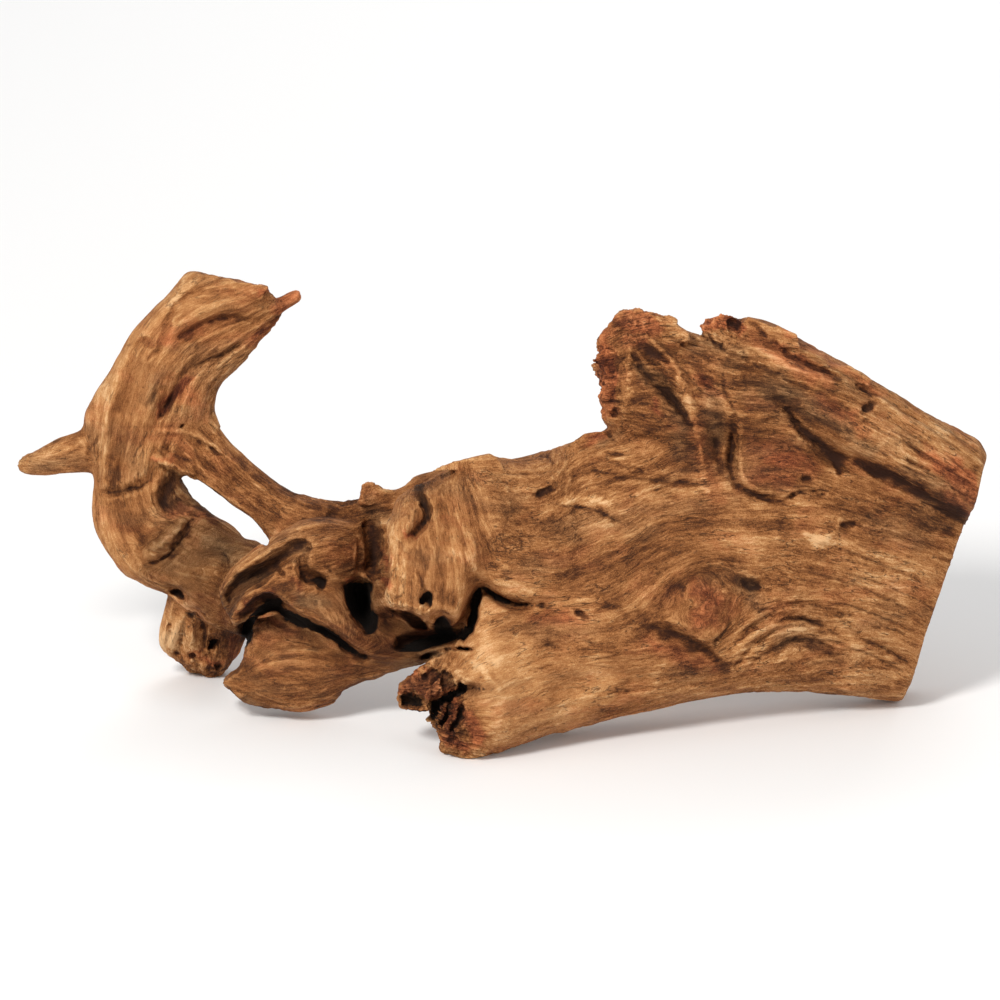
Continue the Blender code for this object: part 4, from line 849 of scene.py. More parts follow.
# Dark wood, and painted shade and shadows under overhangs, in hollows and on faces turned from the light
DARK_STAINS_AND_PAINTED_SHADE = (
    # Parts that are darker as a whole, from their own tone and from painted shade
    ((236, 600, 34, 0.4), (290, 590, 46, 0.5), (350, 560, 40, 0.4)),
    ((320, 620, 44, 0.4), (380, 648, 30, 0.6)),
    ((240, 680, 24, 0.5), (300, 672, 44, 0.7), (360, 670, 24, 0.7)),
    ((180, 442, 26, 0.5), (240, 480, 30, 0.6), (300, 520, 40, 0.5), (370, 505, 24, 0.5)),
    ((620, 360, 40, 0.5), (660, 390, 60, 0.6), (680, 440, 40, 0.5)),
    ((740, 400, 44, 0.4), (800, 450, 50, 0.4)),
    ((600, 560, 60, 0.4), (680, 540, 60, 0.4)),
    ((226, 640, 16, 1.0), (226, 664, 12, 1.0)),
    # Single shadows
    ((182, 301, 4, 0.5), (195, 293, 3, 0.3), (225, 293, 3, 0.3), (258, 298, 3, 0.2)),
    ((172, 337, 8, 0.3), (185, 333, 9, 0.4), (200, 325, 5, 0.3), (225, 318, 4, 0.4), (252, 319, 3, 0.3)),
    ((168, 315, 4, 0.2), (164, 335, 5, 0.5), (158, 348, 5, 0.7), (150, 357, 4, 0.6)),
    ((172, 352, 5, 0.5), (180, 345, 4, 0.4)),
    ((195, 366, 3, 0.3), (212, 357, 4, 0.4), (232, 349, 5, 0.5), (250, 343, 5, 0.7)),
    ((243, 348, 6, 0.4), (262, 334, 6, 0.6), (280, 317, 5, 0.7)),
    ((160, 385, 6, 0.4), (152, 395, 6, 0.4), (145, 403, 5, 0.3)),
    ((188, 379, 4, 0.4), (178, 390, 6, 0.6), (168, 403, 7, 0.7), (160, 414, 6, 0.6), (154, 422, 4, 0.5)),
    ((120, 440, 6, 0.5), (115, 460, 6, 0.5)),
    ((158, 425, 5, 0.8), (145, 430, 4, 0.5), (137, 430, 2, 0.3)),
    ((112, 470, 6, 0.5), (112, 485, 8, 0.6)),
    ((101, 493, 3, 0.3), (120, 491, 3, 0.5), (136, 487, 3, 0.5), (150, 478, 2, 0.3)),
    ((172, 480, 7, 1.0), (164, 492, 10, 1.2), (164, 504, 8, 1.0), (184, 498, 7, 0.9)),
    ((192, 506, 6, 0.7), (204, 514, 6, 1.0), (216, 520, 4, 0.8)),
    ((168, 526, 4, 0.6), (176, 521, 3, 0.4)),
    ((192, 520, 4, 0.9), (183, 534, 4, 0.8), (172, 550, 4, 1.0), (157, 562, 3, 1.0), (146, 563, 2, 0.8)),
    ((138, 500, 9, 0.3), (140, 525, 10, 0.5), (143, 545, 7, 0.5)),
    ((246, 547, 5, 0.9), (256, 546, 5, 0.9)),
    ((165, 446, 5, 0.7), (168, 452, 4, 0.9)),
    ((190, 436, 2, 0.5), (204, 445, 3, 0.8), (216, 453, 3, 0.9), (224, 457, 2, 0.6)),
    ((172, 456, 2, 0.6), (188, 460, 3, 0.8), (205, 467, 2, 0.5)),
    ((225, 475, 6, 0.3), (250, 490, 8, 0.5), (275, 505, 9, 0.6)),
    ((215, 430, 4, 0.4), (245, 462, 4, 0.4), (270, 482, 5, 0.6), (290, 497, 7, 0.7)),
    ((300, 506, 8, 0.6), (330, 510, 9, 0.8), (362, 508, 9, 0.8), (390, 500, 7, 0.6)),
    ((270, 520, 6, 0.5), (285, 520, 8, 0.6)),
    ((418, 487, 7, 0.9), (440, 480, 6, 0.5), (470, 470, 6, 0.3)),
    (
        (222, 608, 4, 0.6), (226, 592, 6, 0.9), (244, 576, 7, 1.1), (266, 564, 6, 1.1),
        (286, 553, 5, 0.9), (304, 544, 5, 0.9),
    ),
    ((260, 580, 5, 0.8), (276, 566, 5, 0.7), (284, 574, 3, 0.8)),
    ((224, 618, 3, 0.6), (228, 612, 3, 0.5)),
    ((238, 620, 5, 1.0), (246, 606, 6, 1.1), (262, 598, 6, 1.2), (276, 598, 4, 1.0)),
    ((330, 570, 4, 0.9), (327, 564, 3, 0.6)),
    ((303, 605, 5, 0.7), (316, 606, 5, 0.8), (330, 603, 3, 0.6)),
    ((296, 588, 4, 0.8), (300, 598, 4, 0.8)),
    ((310, 590, 6, 0.5), (325, 594, 6, 0.5)),
    ((264, 622, 7, 0.6), (284, 630, 8, 0.8), (306, 638, 6, 0.6)),
    ((372, 522, 6, 0.5), (374, 536, 8, 0.8), (374, 556, 7, 1.3), (374, 572, 7, 1.4)),
    ((250, 690, 9, 0.4), (275, 704, 8, 0.5), (310, 702, 6, 0.4)),
    ((300, 670, 8, 0.3), (340, 672, 8, 0.4), (362, 666, 6, 0.6)),
    ((224, 640, 8, 0.9), (228, 655, 9, 0.9), (224, 668, 8, 1.0)),
    ((206, 672, 4, 0.9), (216, 674, 4, 0.9)),
    ((240, 632, 6, 1.6), (245, 640, 5, 1.6)),
    ((170, 652, 4, 0.8), (180, 662, 4, 0.8), (190, 668, 3, 0.8)),
    ((184, 600, 4, 0.4), (200, 599, 3, 0.5)),
    ((160, 636, 3, 0.7), (164, 632, 3, 0.5)),
    ((375, 616, 5, 0.8), (400, 616, 5, 0.8), (414, 624, 5, 0.8)),
    ((395, 645, 8, 0.9), (410, 640, 9, 1.2), (440, 636, 9, 1.3), (456, 632, 5, 1.2)),
    ((380, 640, 8, 0.6), (395, 655, 7, 0.7), (420, 660, 6, 0.8)),
    ((372, 650, 3, 0.5), (372, 665, 3, 0.5)),
    ((437, 620, 5, 1.0), (446, 620, 6, 1.1), (452, 628, 4, 0.9)),
    ((424, 506, 3, 0.6), (428, 516, 4, 0.8), (420, 526, 5, 0.9), (412, 534, 3, 0.7)),
    ((400, 518, 5, 0.5), (396, 516, 4, 0.4)),
    ((420, 540, 5, 0.4), (424, 555, 6, 0.5), (424, 572, 4, 0.8), (422, 588, 4, 0.9)),
    ((428, 545, 3, 0.8), (431, 550, 2, 0.7)),
    ((382, 530, 5, 0.4), (384, 548, 4, 0.5)),
    ((440, 590, 10, 0.3), (452, 600, 8, 0.4)),
    ((500, 545, 14, 0.4), (530, 555, 16, 0.5), (560, 545, 16, 0.3)),
    ((470, 500, 12, 0.3), (520, 520, 14, 0.4), (560, 525, 12, 0.4)),
    ((533, 494, 4, 0.8), (545, 489, 5, 0.9), (556, 487, 3, 0.6)),
    ((555, 506, 3, 0.5), (580, 508, 3, 0.8), (606, 516, 4, 0.9), (630, 524, 3, 0.5)),
    ((576, 612, 4, 0.9), (585, 617, 4, 0.9)),
    ((600, 606, 4, 0.5), (625, 612, 10, 0.5), (640, 618, 12, 0.7)),
    ((652, 612, 9, 0.5), (668, 592, 6, 0.8), (684, 586, 5, 0.8)),
    ((652, 628, 6, 1.0), (668, 632, 7, 1.1), (692, 642, 9, 0.9), (714, 656, 8, 0.8), (732, 668, 5, 0.7)),
    ((660, 650, 10, 0.4), (690, 665, 10, 0.4)),
    ((735, 580, 8, 0.6), (750, 584, 9, 0.9), (766, 590, 6, 0.6)),
    ((740, 560, 8, 0.3), (762, 610, 7, 0.4)),
    ((765, 655, 7, 0.5), (785, 644, 8, 0.8), (806, 644, 9, 0.9), (830, 650, 6, 0.6)),
    ((775, 622, 3, 0.5), (790, 619, 4, 0.8), (806, 620, 4, 0.8), (824, 627, 3, 0.6), (842, 637, 2, 0.4)),
    ((860, 638, 3, 0.5), (880, 648, 5, 0.8), (900, 658, 5, 0.8), (912, 666, 3, 0.5)),
    ((545, 643, 3, 0.6), (560, 648, 3, 0.6)),
    ((590, 641, 2, 0.8), (602, 644, 2, 0.5)),
    ((508, 634, 6, 0.4), (530, 632, 6, 0.3)),
    ((614, 690, 2, 0.7), (628, 690, 2, 0.7)),
    ((620, 440, 8, 0.3), (650, 460, 14, 0.3), (690, 460, 14, 0.5), (716, 470, 12, 0.7)),
    ((590, 470, 3, 0.7), (611, 474, 3, 0.8), (625, 478, 2, 0.4)),
    ((605, 453, 3, 0.9), (625, 455, 3, 0.8)),
    ((610, 462, 3, 0.5), (640, 470, 3, 0.7), (650, 476, 3, 0.6)),
    ((650, 480, 3, 0.6), (680, 482, 3, 0.7), (706, 485, 2, 0.5)),
    ((640, 349, 7, 1.5), (652, 354, 7, 1.5), (665, 361, 5, 1.0)),
    (
        (630, 350, 3, 0.6), (636, 362, 5, 0.8), (652, 382, 7, 1.1), (668, 396, 8, 1.3),
        (682, 414, 7, 1.1), (690, 428, 5, 0.8),
    ),
    ((640, 400, 12, 0.5), (655, 420, 14, 0.5), (670, 435, 12, 0.4)),
    ((634, 375, 6, 0.5), (640, 390, 8, 0.5)),
    ((694, 362, 5, 0.6), (706, 380, 6, 0.6), (700, 400, 7, 0.7), (716, 420, 9, 0.8)),
    ((712, 440, 10, 0.7), (718, 462, 10, 1.0)),
    ((730, 420, 5, 1.0), (733, 440, 6, 1.3), (730, 462, 6, 1.3), (734, 480, 4, 1.0)),
    ((602, 360, 4, 0.9), (600, 376, 3, 0.8), (604, 386, 3, 1.2)),
    ((612, 410, 4, 1.3), (616, 416, 4, 0.8)),
    ((615, 325, 5, 0.7), (628, 322, 6, 0.8), (640, 318, 4, 0.5)),
    ((612, 348, 5, 0.6), (622, 340, 5, 0.5)),
    ((690, 345, 5, 0.6), (706, 355, 5, 0.6), (716, 362, 3, 0.5)),
    ((702, 330, 3, 1.2), (712, 341, 4, 1.3), (724, 347, 3, 1.1)),
    ((730, 322, 6, 1.2), (737, 325, 5, 1.3)),
    ((740, 345, 10, 0.4), (760, 360, 8, 0.5)),
    ((724, 362, 6, 0.6), (745, 368, 8, 0.7), (768, 373, 6, 0.6), (790, 379, 4, 0.5)),
    ((772, 342, 4, 0.7), (785, 353, 5, 1.0), (802, 362, 6, 1.1), (824, 373, 6, 1.1), (845, 380, 4, 0.7)),
    ((750, 324, 3, 0.7), (760, 332, 4, 0.8), (770, 342, 3, 0.6)),
    ((748, 382, 8, 0.4), (770, 394, 10, 0.6), (795, 410, 10, 0.9), (820, 424, 10, 0.9), (848, 436, 8, 0.6)),
    ((785, 412, 6, 1.4), (800, 428, 8, 1.5), (820, 444, 9, 1.7), (836, 458, 8, 1.7), (842, 470, 4, 1.2)),
    ((856, 460, 5, 1.2), (880, 470, 7, 1.5), (910, 484, 8, 1.5), (940, 502, 8, 1.4), (962, 516, 7, 1.2)),
    ((905, 466, 5, 0.7), (925, 474, 6, 0.7), (938, 480, 5, 0.5)),
    ((862, 388, 3, 0.8), (873, 396, 3, 0.8)),
    ((863, 411, 5, 1.0), (872, 404, 5, 1.0)),
    ((888, 505, 10, 0.3), (915, 515, 10, 0.5), (950, 530, 9, 0.7)),
    ((948, 466, 3, 0.8), (955, 470, 3, 0.8)),
    ((948, 484, 3, 0.8), (958, 492, 3, 0.9), (974, 502, 2, 0.6)),
    ((735, 484, 4, 1.0), (752, 492, 4, 1.2), (772, 500, 4, 1.2), (784, 501, 3, 0.8)),
    ((786, 498, 2, 0.9), (800, 492, 2, 1.0), (820, 492, 2, 1.0), (834, 497, 2, 0.7)),
    ((775, 508, 8, 0.5), (780, 520, 7, 0.6), (786, 534, 6, 0.6)),
    ((845, 524, 5, 0.9), (855, 524, 4, 0.9)),
    ((798, 478, 4, 0.9), (810, 479, 4, 0.9)),
    ((770, 470, 12, 0.3), (800, 460, 14, 0.4)),
    ((640, 560, 14, 0.3), (690, 548, 10, 0.3), (730, 560, 12, 0.3)),
    ((30, 470, 8, 0.5), (60, 466, 7, 0.4), (86, 464, 6, 0.5)),
    ((96, 440, 4, 0.8), (90, 452, 4, 0.9)),
    ((415, 690, 16, 0.5), (440, 690, 20, 0.7), (450, 725, 20, 0.7), (458, 744, 18, 0.8)),
)
GREY_STAINS = (
    ((35, 466, 10, 0.7), (80, 460, 9, 0.4)),
    ((150, 400, 12, 0.8), (160, 370, 8, 0.4)),
    ((125, 450, 14, 0.4), (140, 470, 12, 0.4)),
    ((210, 540, 14, 0.8), (235, 552, 12, 0.8)),
    ((300, 598, 8, 0.8), (322, 604, 10, 0.7)),
    ((640, 370, 10, 0.8), (665, 390, 10, 0.6), (680, 420, 14, 0.7), (680, 450, 14, 0.5)),
    ((715, 440, 16, 0.8), (712, 400, 14, 0.6)),
    ((700, 345, 16, 0.6), (740, 352, 14, 0.4), (725, 366, 14, 0.4)),
    ((770, 385, 14, 0.5), (800, 400, 14, 0.6), (835, 425, 12, 0.7), (870, 450, 9, 0.6)),
    ((905, 470, 10, 0.7), (940, 485, 10, 0.6)),
    ((870, 520, 16, 0.4), (920, 540, 16, 0.5)),
    ((748, 586, 14, 0.8), (760, 610, 12, 0.4)),
    ((780, 640, 16, 0.5), (820, 640, 16, 0.5)),
    ((385, 520, 10, 0.6), (370, 505, 12, 0.5)),
    ((240, 580, 10, 0.6), (262, 574, 10, 0.7)),
    ((405, 645, 14, 0.6), (440, 650, 12, 0.6)),
    ((600, 445, 6, 0.8), (620, 432, 6, 0.4)),
)

# Calm wood, where the grain shows least: runs as above
CALM_STAINS = (
    (
        (230, 290, 70, 0.9), (150, 340, 80, 1.0), (130, 430, 80, 1.0), (130, 530, 70, 0.9),
        (210, 590, 50, 0.6),
    ),
    ((430, 500, 50, 0.9), (430, 560, 66, 1.4), (430, 600, 50, 1.0)),
    ((240, 590, 50, 0.6), (330, 600, 50, 0.7)),
    ((250, 670, 50, 0.8), (340, 660, 40, 0.8)),
    ((480, 640, 60, 0.9), (510, 700, 66, 1.0), (600, 690, 50, 0.5)),
    ((700, 600, 60, 0.5), (640, 540, 60, 0.4)),
)
# Stains by name, with painted highlights among the pale ones and painted shade among the dark ones
STAINS_AND_PAINTED_LIGHT = {
    "red": RED_STAINS,
    "pale": PALE_STAINS_AND_PAINTED_HIGHLIGHTS,
    "dark": DARK_STAINS_AND_PAINTED_SHADE,
    "grey": GREY_STAINS,
    "calm": CALM_STAINS,
}

# Hollows are measured against the skin averaged so many times, for the painted shade that they get
HOLLOW_ROUNDS = {"fine_hollow": 3, "broad_hollow": 40}

# Patterns along the grain: how much each counts, waves a pixel along, across and into the grain, detail,
# roughness and distortion
GRAIN_PATTERNS = (
    # Bands, streaks, fibres and fine fibres
    (0.52, (0.006, 0.040, 0.016), 3.0, 0.6, 0.3),
    (0.44, (0.016, 0.15, 0.06), 3.0, 0.6, 0.3),
    (0.44, (0.12, 0.75, 0.30), 3.0, 0.7, 0.0),
    (0.34, (0.30, 2.0, 0.8), 2.0, 0.7, 0.0),
)

# Patterns across the grain: the same, with waves a metre along X, Y and Z
PLACE_PATTERNS = (
    # Blotches and grit
    (0.42, (22.0, 22.0, 34.0), 5.0, 0.6, 0.4),
    (0.50, (900.0, 900.0, 900.0), 2.0, 0.8, 0.0),
)

# Where the tints and the short cracks are: the noise, the values that it spans and how much it counts
RED_FIELD = ((13.0, 13.0, 26.0), 4.0, 0.7)
RED_SPAN = (0.48, 0.68)
RED_SHARE = 0.4
GREY_FIELD = ((9.0, 9.0, 24.0), 3.0, 0.6)
GREY_SPAN = (0.50, 0.66)
GREY_SHARE = 0.3
MOST_TINT = 0.9
CRACK_FIELD = ((32.0, 32.0, 60.0), 3.0, 0.7)
CRACK_FIELD_SPAN = (0.50, 0.58)

# Short cracks: their noise down the grain, the values that a crack's edge spans, and how dark it is
CRACK_LINES = ((0.040, 0.26, 0.10), 2.0, 0.5)
CRACK_WIDTH = (0.004, 0.022)
CRACK_SHARE = 0.72

# The tone runs from dark at 0 to light at 1. It starts from a middle, stains and hollows move it, and it is
# then stretched over the span. Pale stains hold painted highlights and dark stains painted shade, hollows
# get painted shade and ridges a lighter tone. A hollow's first two values are millimetres, and the others
# are its effect.
MIDDLE_TONE = 0.56
PALE_LIFT = 0.15
DARK_DROP = 0.22
FINE_HOLLOW_SHADE = (0.3, 2.5, 0.0, 0.30)
BROAD_HOLLOW_SHADE = (3.0, 12.0, 0.0, 0.30)
RIDGE_LIFT = (-0.1, -1.0, 0.0, 0.10)
TONE_SPAN = (0.20, 0.92)

# Colours by tone, as values from 0 to 255
OCHRE_WOOD = (
    (0.0, (50, 24, 10)),
    (0.2, (87, 49, 22)),
    (0.42, (128, 79, 41)),
    (0.6, (155, 103, 60)),
    (0.8, (180, 129, 80)),
    (1.0, (214, 171, 124)),
)
RED_WOOD = (
    (0.0, (50, 20, 10)),
    (0.3, (100, 48, 26)),
    (0.6, (152, 84, 48)),
    (0.8, (180, 104, 62)),
    (1.0, (212, 136, 88)),
)
GREY_WOOD = (
    (0.0, (48, 29, 16)),
    (0.4, (110, 77, 48)),
    (0.7, (152, 112, 74)),
    (1.0, (190, 150, 108)),
)
CRACK_COLOUR = (56, 31, 17)

# Painted shade in pits and cracks: the colour, and how it comes in with the depth in pixels
PIT_SHADE_COLOURS = (
    ((1.0, 8.0, 0.0, 0.55), (40, 22, 12)),
    ((7.0, 13.0, 0.0, 0.95), (14, 8, 4)),
)

# Gloss, and the fine relief of the grain
FIBRE_ROUGHNESS = (0.3, 0.7, 0.95, 0.75)
SPECULAR = 0.2
STREAK_RELIEF = 0.5
FIBRE_RELIEF = 0.5
CRACK_RELIEF = 0.4
RELIEF_HEIGHT = 2.5 * MM

# The studio. A light has a name, place, size, power and colour.
LIGHTS = (
    ("key", (-1.8, -3.0, 3.4), 1.2, 190.0, (1.0, 0.98, 0.95)),
    ("fill", (2.6, -2.8, 1.6), 2.4, 35.0, (1.0, 0.98, 0.96)),
    ("back", (0.8, 3.0, 2.4), 2.6, 40.0, (1.0, 1.0, 1.0)),
)
LIGHTS_AIM = (0.0, 0.0, 0.2)
WORLD_LIGHT = 0.55
FLOOR_RADIUS = 25.0
FLOOR_SIDES = 96
FLOOR_COLOUR = (0.86, 0.86, 0.86, 1.0)
FLOOR_ROUGHNESS = 0.9


def smooth_through(rows, spans):
    """Rows on a Catmull-Rom curve through the given ones, with so many spans between each two."""
    rows = np.array(rows, float)
    held = np.vstack((2 * rows[0] - rows[1], rows, 2 * rows[-1] - rows[-2]))
    found = []
    for start in range(len(rows) - 1):
        a, b, c, d = held[start : start + 4]
        for t in np.arange(spans) / spans:
            linear = (c - a) * t
            square = (2 * a - 5 * b + 4 * c - d) * t**2
            cube = (3 * b - a - 3 * c + d) * t**3
            found.append(b + (linear + square + cube) / 2)
    found.append(rows[-1])
    return np.array(found)


def to_pixels(points):
    """Places of the part's frame as pixels across and down the photograph, with the depth in pixels too."""
    from_origin = (points - SKETCH_ORIGIN) / PIXEL
    across = ORIGIN_U + from_origin @ ACROSS
    down = ORIGIN_V - from_origin @ UP_PLANE
    return np.stack((across, down, from_origin @ INTO_PLANE), axis=1)


def from_pixel(u, v):
    """The place on the sketch plane behind a pixel."""
    on_plane = (u - ORIGIN_U) * ACROSS + (ORIGIN_V - v) * UP_PLANE
    return SKETCH_ORIGIN + on_plane * PIXEL


def read_points(piece):
    count = len(piece.data.vertices)
    points = np.empty(count * 3, np.float32)
    normals = np.empty(count * 3, np.float32)
    piece.data.vertices.foreach_get("co", points)
    piece.data.vertices.foreach_get("normal", normals)
    return points.reshape(-1, 3).astype(float), normals.reshape(-1, 3).astype(float)


def write_points(piece, points):
    piece.data.vertices.foreach_set("co", points.astype(np.float32).ravel())
    piece.data.update()


def as_modified(piece):
    """The piece's mesh takes on what its modifiers make of it, and the modifiers go."""
    graph = bpy.context.evaluated_depsgraph_get()
    made = bpy.data.meshes.new_from_object(piece.evaluated_get(graph))
    piece.modifiers.clear()
    piece.data = made


def evened(piece, voxel, rounds):
    """An even skin in place of the piece's faces, softened a few times."""
    remesh = piece.modifiers.new("skin", "REMESH")
    remesh.mode = "VOXEL"
    remesh.voxel_size = voxel
    soften = piece.modifiers.new("soften", "SMOOTH")
    soften.factor = 0.5
    soften.iterations = rounds
    as_modified(piece)


def prism(body, outline, near, far):
    """A straight block behind an outline of pixels, between two depths in pixels."""
    rings = []
    for depth in (near, far):
        rings.append([body.verts.new(from_pixel(u, v) + depth * PIXEL * INTO_PLANE) for u, v in outline])
    faces = [body.faces.new(rings[0]), body.faces.new(rings[1])]
    for i, _ in enumerate(outline):
        j = (i + 1) % len(outline)
        faces.append(body.faces.new((rings[0][i], rings[0][j], rings[1][j], rings[1][i])))
    bmesh.ops.recalc_face_normals(body, faces=faces)


def depth_under(tree, u, v):
    """How deep the wood's surface lies behind a pixel, in pixels, or none where there is no wood."""
    start = from_pixel(u, v) - INTO_PLANE * SIGHT_START
    distance = tree.ray_cast(Vector(start), Vector(INTO_PLANE))[3]
    return None if distance is None else (distance - SIGHT_START) / PIXEL


def notch(piece):
    """The wood goes wherever the sight should pass beside it."""
    cutters = bmesh.new()
    for outline in NOTCHES:
        prism(cutters, outline, -NOTCH_REACH, NOTCH_REACH)
    mesh = bpy.data.meshes.new("notches")
    cutters.to_mesh(mesh)
    cutters.free()
    cutter = bpy.data.objects.new("notches", mesh)
    bpy.context.scene.collection.objects.link(cutter)
    cut = piece.modifiers.new("notch", "BOOLEAN")
    cut.operation = "DIFFERENCE"
    cut.object = cutter
    as_modified(piece)
    bpy.data.objects.remove(cutter)
    bpy.data.meshes.remove(mesh)


def add_shards(piece):
    """Splinters and broken edges, at the depth of the wood that they stand on."""
    body = bmesh.new()
    body.from_mesh(piece.data)
    tree = BVHTree.FromBMesh(body)
    for u, v, lift, thick, outline in SHARDS:
        front = depth_under(tree, u, v) - lift
        prism(body, outline, front, front + thick)
    body.to_mesh(piece.data)
    body.free()


def pull(piece):
    """Small shifts of the wood in the sketch plane."""
    points, _ = read_points(piece)
    pixels = to_pixels(points)
    for u, v, across, down, reach in PULLS:
        near = np.clip(1 - np.hypot(pixels[:, 0] - u, pixels[:, 1] - v) / reach, 0, 1)
        share = near**2 * (3 - 2 * near)
        points += np.outer(share, across * ACROSS - down * UP_PLANE) * PIXEL
    write_points(piece, points)


def noise_at(places, octaves):
    """A smooth random value between about -1 and 1 at each place."""
    return np.array([noise.fractal(Vector(p), NOISE_FALLOFF, NOISE_STEP, octaves) for p in places])


def along_line(pixels, line):
    """Which places are near a run, how far each is from it, and the run's values there."""
    reach = line[:, 2].max()
    low, high = line[:, :2].min(axis=0) - reach, line[:, :2].max(axis=0) + reach
    near = np.flatnonzero(((pixels[:, :2] > low) & (pixels[:, :2] < high)).all(axis=1))
    places = pixels[near, :2]
    best = np.full(len(near), np.inf)
    values = np.zeros((len(near), line.shape[1] - 2))
    for first, second in zip(line, line[1:]):
        step = second[:2] - first[:2]
        off = places - first[:2]
        share = np.clip(off @ step / (step @ step), 0, 1)
        distance = np.hypot(*(off - share[:, None] * step).T)
        nearer = distance < best
        best[nearer] = distance[nearer]
        values[nearer] = first[2:] + share[nearer, None] * (second[2:] - first[2:])
    return near, best, values.T


def stroke_depths(pixels, strokes, power):
    """How deep a set of strokes cuts at each place, where the deepest of them counts."""
    deepest = np.zeros(len(pixels))
    for stroke in strokes:
        near, distance, (half, deep) = along_line(pixels, smooth_through(stroke, LINE_SPANS))
        cut = deep * np.clip(1 - distance / half, 0, 1) ** power
        larger = np.abs(cut) > np.abs(deepest[near])
        deepest[near[larger]] = cut[larger]
    return deepest


class Pit:
    """A pit with steep walls, whose floor is so far behind the plane through its own rim."""

    def __init__(self, tree, deep, wall, outline):
        self.deep = deep
        self.wall = wall
        self.corners = np.array(outline, float)
        self.middle = self.corners.mean(axis=0)
        around = self.middle + (self.corners - self.middle) * RIM_OUTSIDE
        rows = [(u, v, depth_under(tree, u, v)) for u, v in around]
        rim = np.array([row for row in rows if row[2] is not None])
        rim = rim[np.abs(rim[:, 2] - np.median(rim[:, 2])) < RIM_SPREAD]
        flat = np.column_stack((rim[:, :2] - self.middle, np.ones(len(rim))))
        self.slope = np.linalg.lstsq(flat, rim[:, 2], rcond=None)[0]

    def read(self, pixels):
        """Which places are inside the outline, how deep the rim's plane is there, and the pit below it."""
        low, high = self.corners.min(axis=0), self.corners.max(axis=0)
        near = np.flatnonzero(((pixels[:, :2] > low) & (pixels[:, :2] < high)).all(axis=1))
        places = pixels[near, :2]
        inside = np.zeros(len(near), bool)
        distance = np.full(len(near), np.inf)
        for first, second in zip(self.corners, np.roll(self.corners, -1, axis=0)):
            step = second - first
            off = places - first
            share = np.clip(off @ step / (step @ step), 0, 1)
            distance = np.minimum(distance, np.hypot(*(off - share[:, None] * step).T))
            crosses = (first[1] > places[:, 1]) != (second[1] > places[:, 1])
            height = step[1] if step[1] else 1.0
            inside ^= crosses & (off[:, 0] < off[:, 1] / height * step[0])
        near, places, distance = near[inside], places[inside], distance[inside]
        rim = np.column_stack((places - self.middle, np.ones(len(near)))) @ self.slope
        return near, rim, self.deep * np.clip(distance / self.wall, 0, 1) ** PIT_POWER


def wandered(pixels, waves):
    """The same places, moved about a little in the sketch plane."""
    length, height, octaves, apart = waves
    moved = pixels.copy()
    for axis in (0, 1):
        moved[:, axis] += height * noise_at(pixels / length + apart * axis, octaves)
    return moved


def in_sight(points, normals, tree, sight):
    """How squarely each point faces a viewer who looks along the sight, and nothing where it is hidden."""
    facing = np.clip((-normals @ sight - LEAST_FACING) / FACING_SPAN, 0, 1)
    towards = Vector(-sight)
    for i in np.flatnonzero(facing > 0):
        if tree.ray_cast(Vector(points[i]) + towards * CLEARANCE, towards)[0] is not None:
            facing[i] = 0
    return facing


def tree_of(piece, points):
    return BVHTree.FromPolygons(points.tolist(), [tuple(face.vertices) for face in piece.data.polygons])


def carve(piece):
    """Cracks, creases and ridges pushed into the wood along the line of sight, and then the pits."""
    points, normals = read_points(piece)
    tree = tree_of(piece, points)
    pixels = wandered(to_pixels(points), EDGE_WAVES)
    depths = stroke_depths(pixels, CUTS, CUT_POWER)
    creases = stroke_depths(pixels, CREASES, CREASE_POWER)
    depths = np.where(creases < 0, depths + creases, np.maximum(depths, creases))
    depths *= in_sight(points, normals, tree, INTO_PLANE)
    pixels[:, 2] += depths
    pits = [Pit(tree, *pit) for pit in PITS]
    for pit in pits:
        near, rim, deep = pit.read(pixels)
        short = np.maximum(0, rim + deep - pixels[near, 2])
        depths[near] += short
        pixels[near, 2] += short
    write_points(piece, points + np.outer(depths, INTO_PLANE) * PIXEL)
    return pits


def pit_shade_depths(piece, pits):
    """How far each point lies in a pit or a crack, which sets how much painted shade it gets."""
    points, normals = read_points(piece)
    pixels = wandered(to_pixels(points), EDGE_WAVES)
    steep = [[(u, v, half, CRACK_SHADE * deep / half) for u, v, half, deep in cut] for cut in CUTS]
    pit_shade = stroke_depths(pixels, steep, CRACK_POWER)
    pit_shade *= in_sight(points, normals, tree_of(piece, points), INTO_PLANE)
    for pit in pits:
        near, rim, deep = pit.read(pixels)
        below = pixels[near, 2] - rim
        found = np.where(below < pit.deep + PIT_REACH, np.minimum(below, pit.deep), 0)
        pit_shade[near] = np.maximum(pit_shade[near], found)
    return np.where(normals @ INTO_PLANE < TURNED_AWAY, pit_shade, 0)


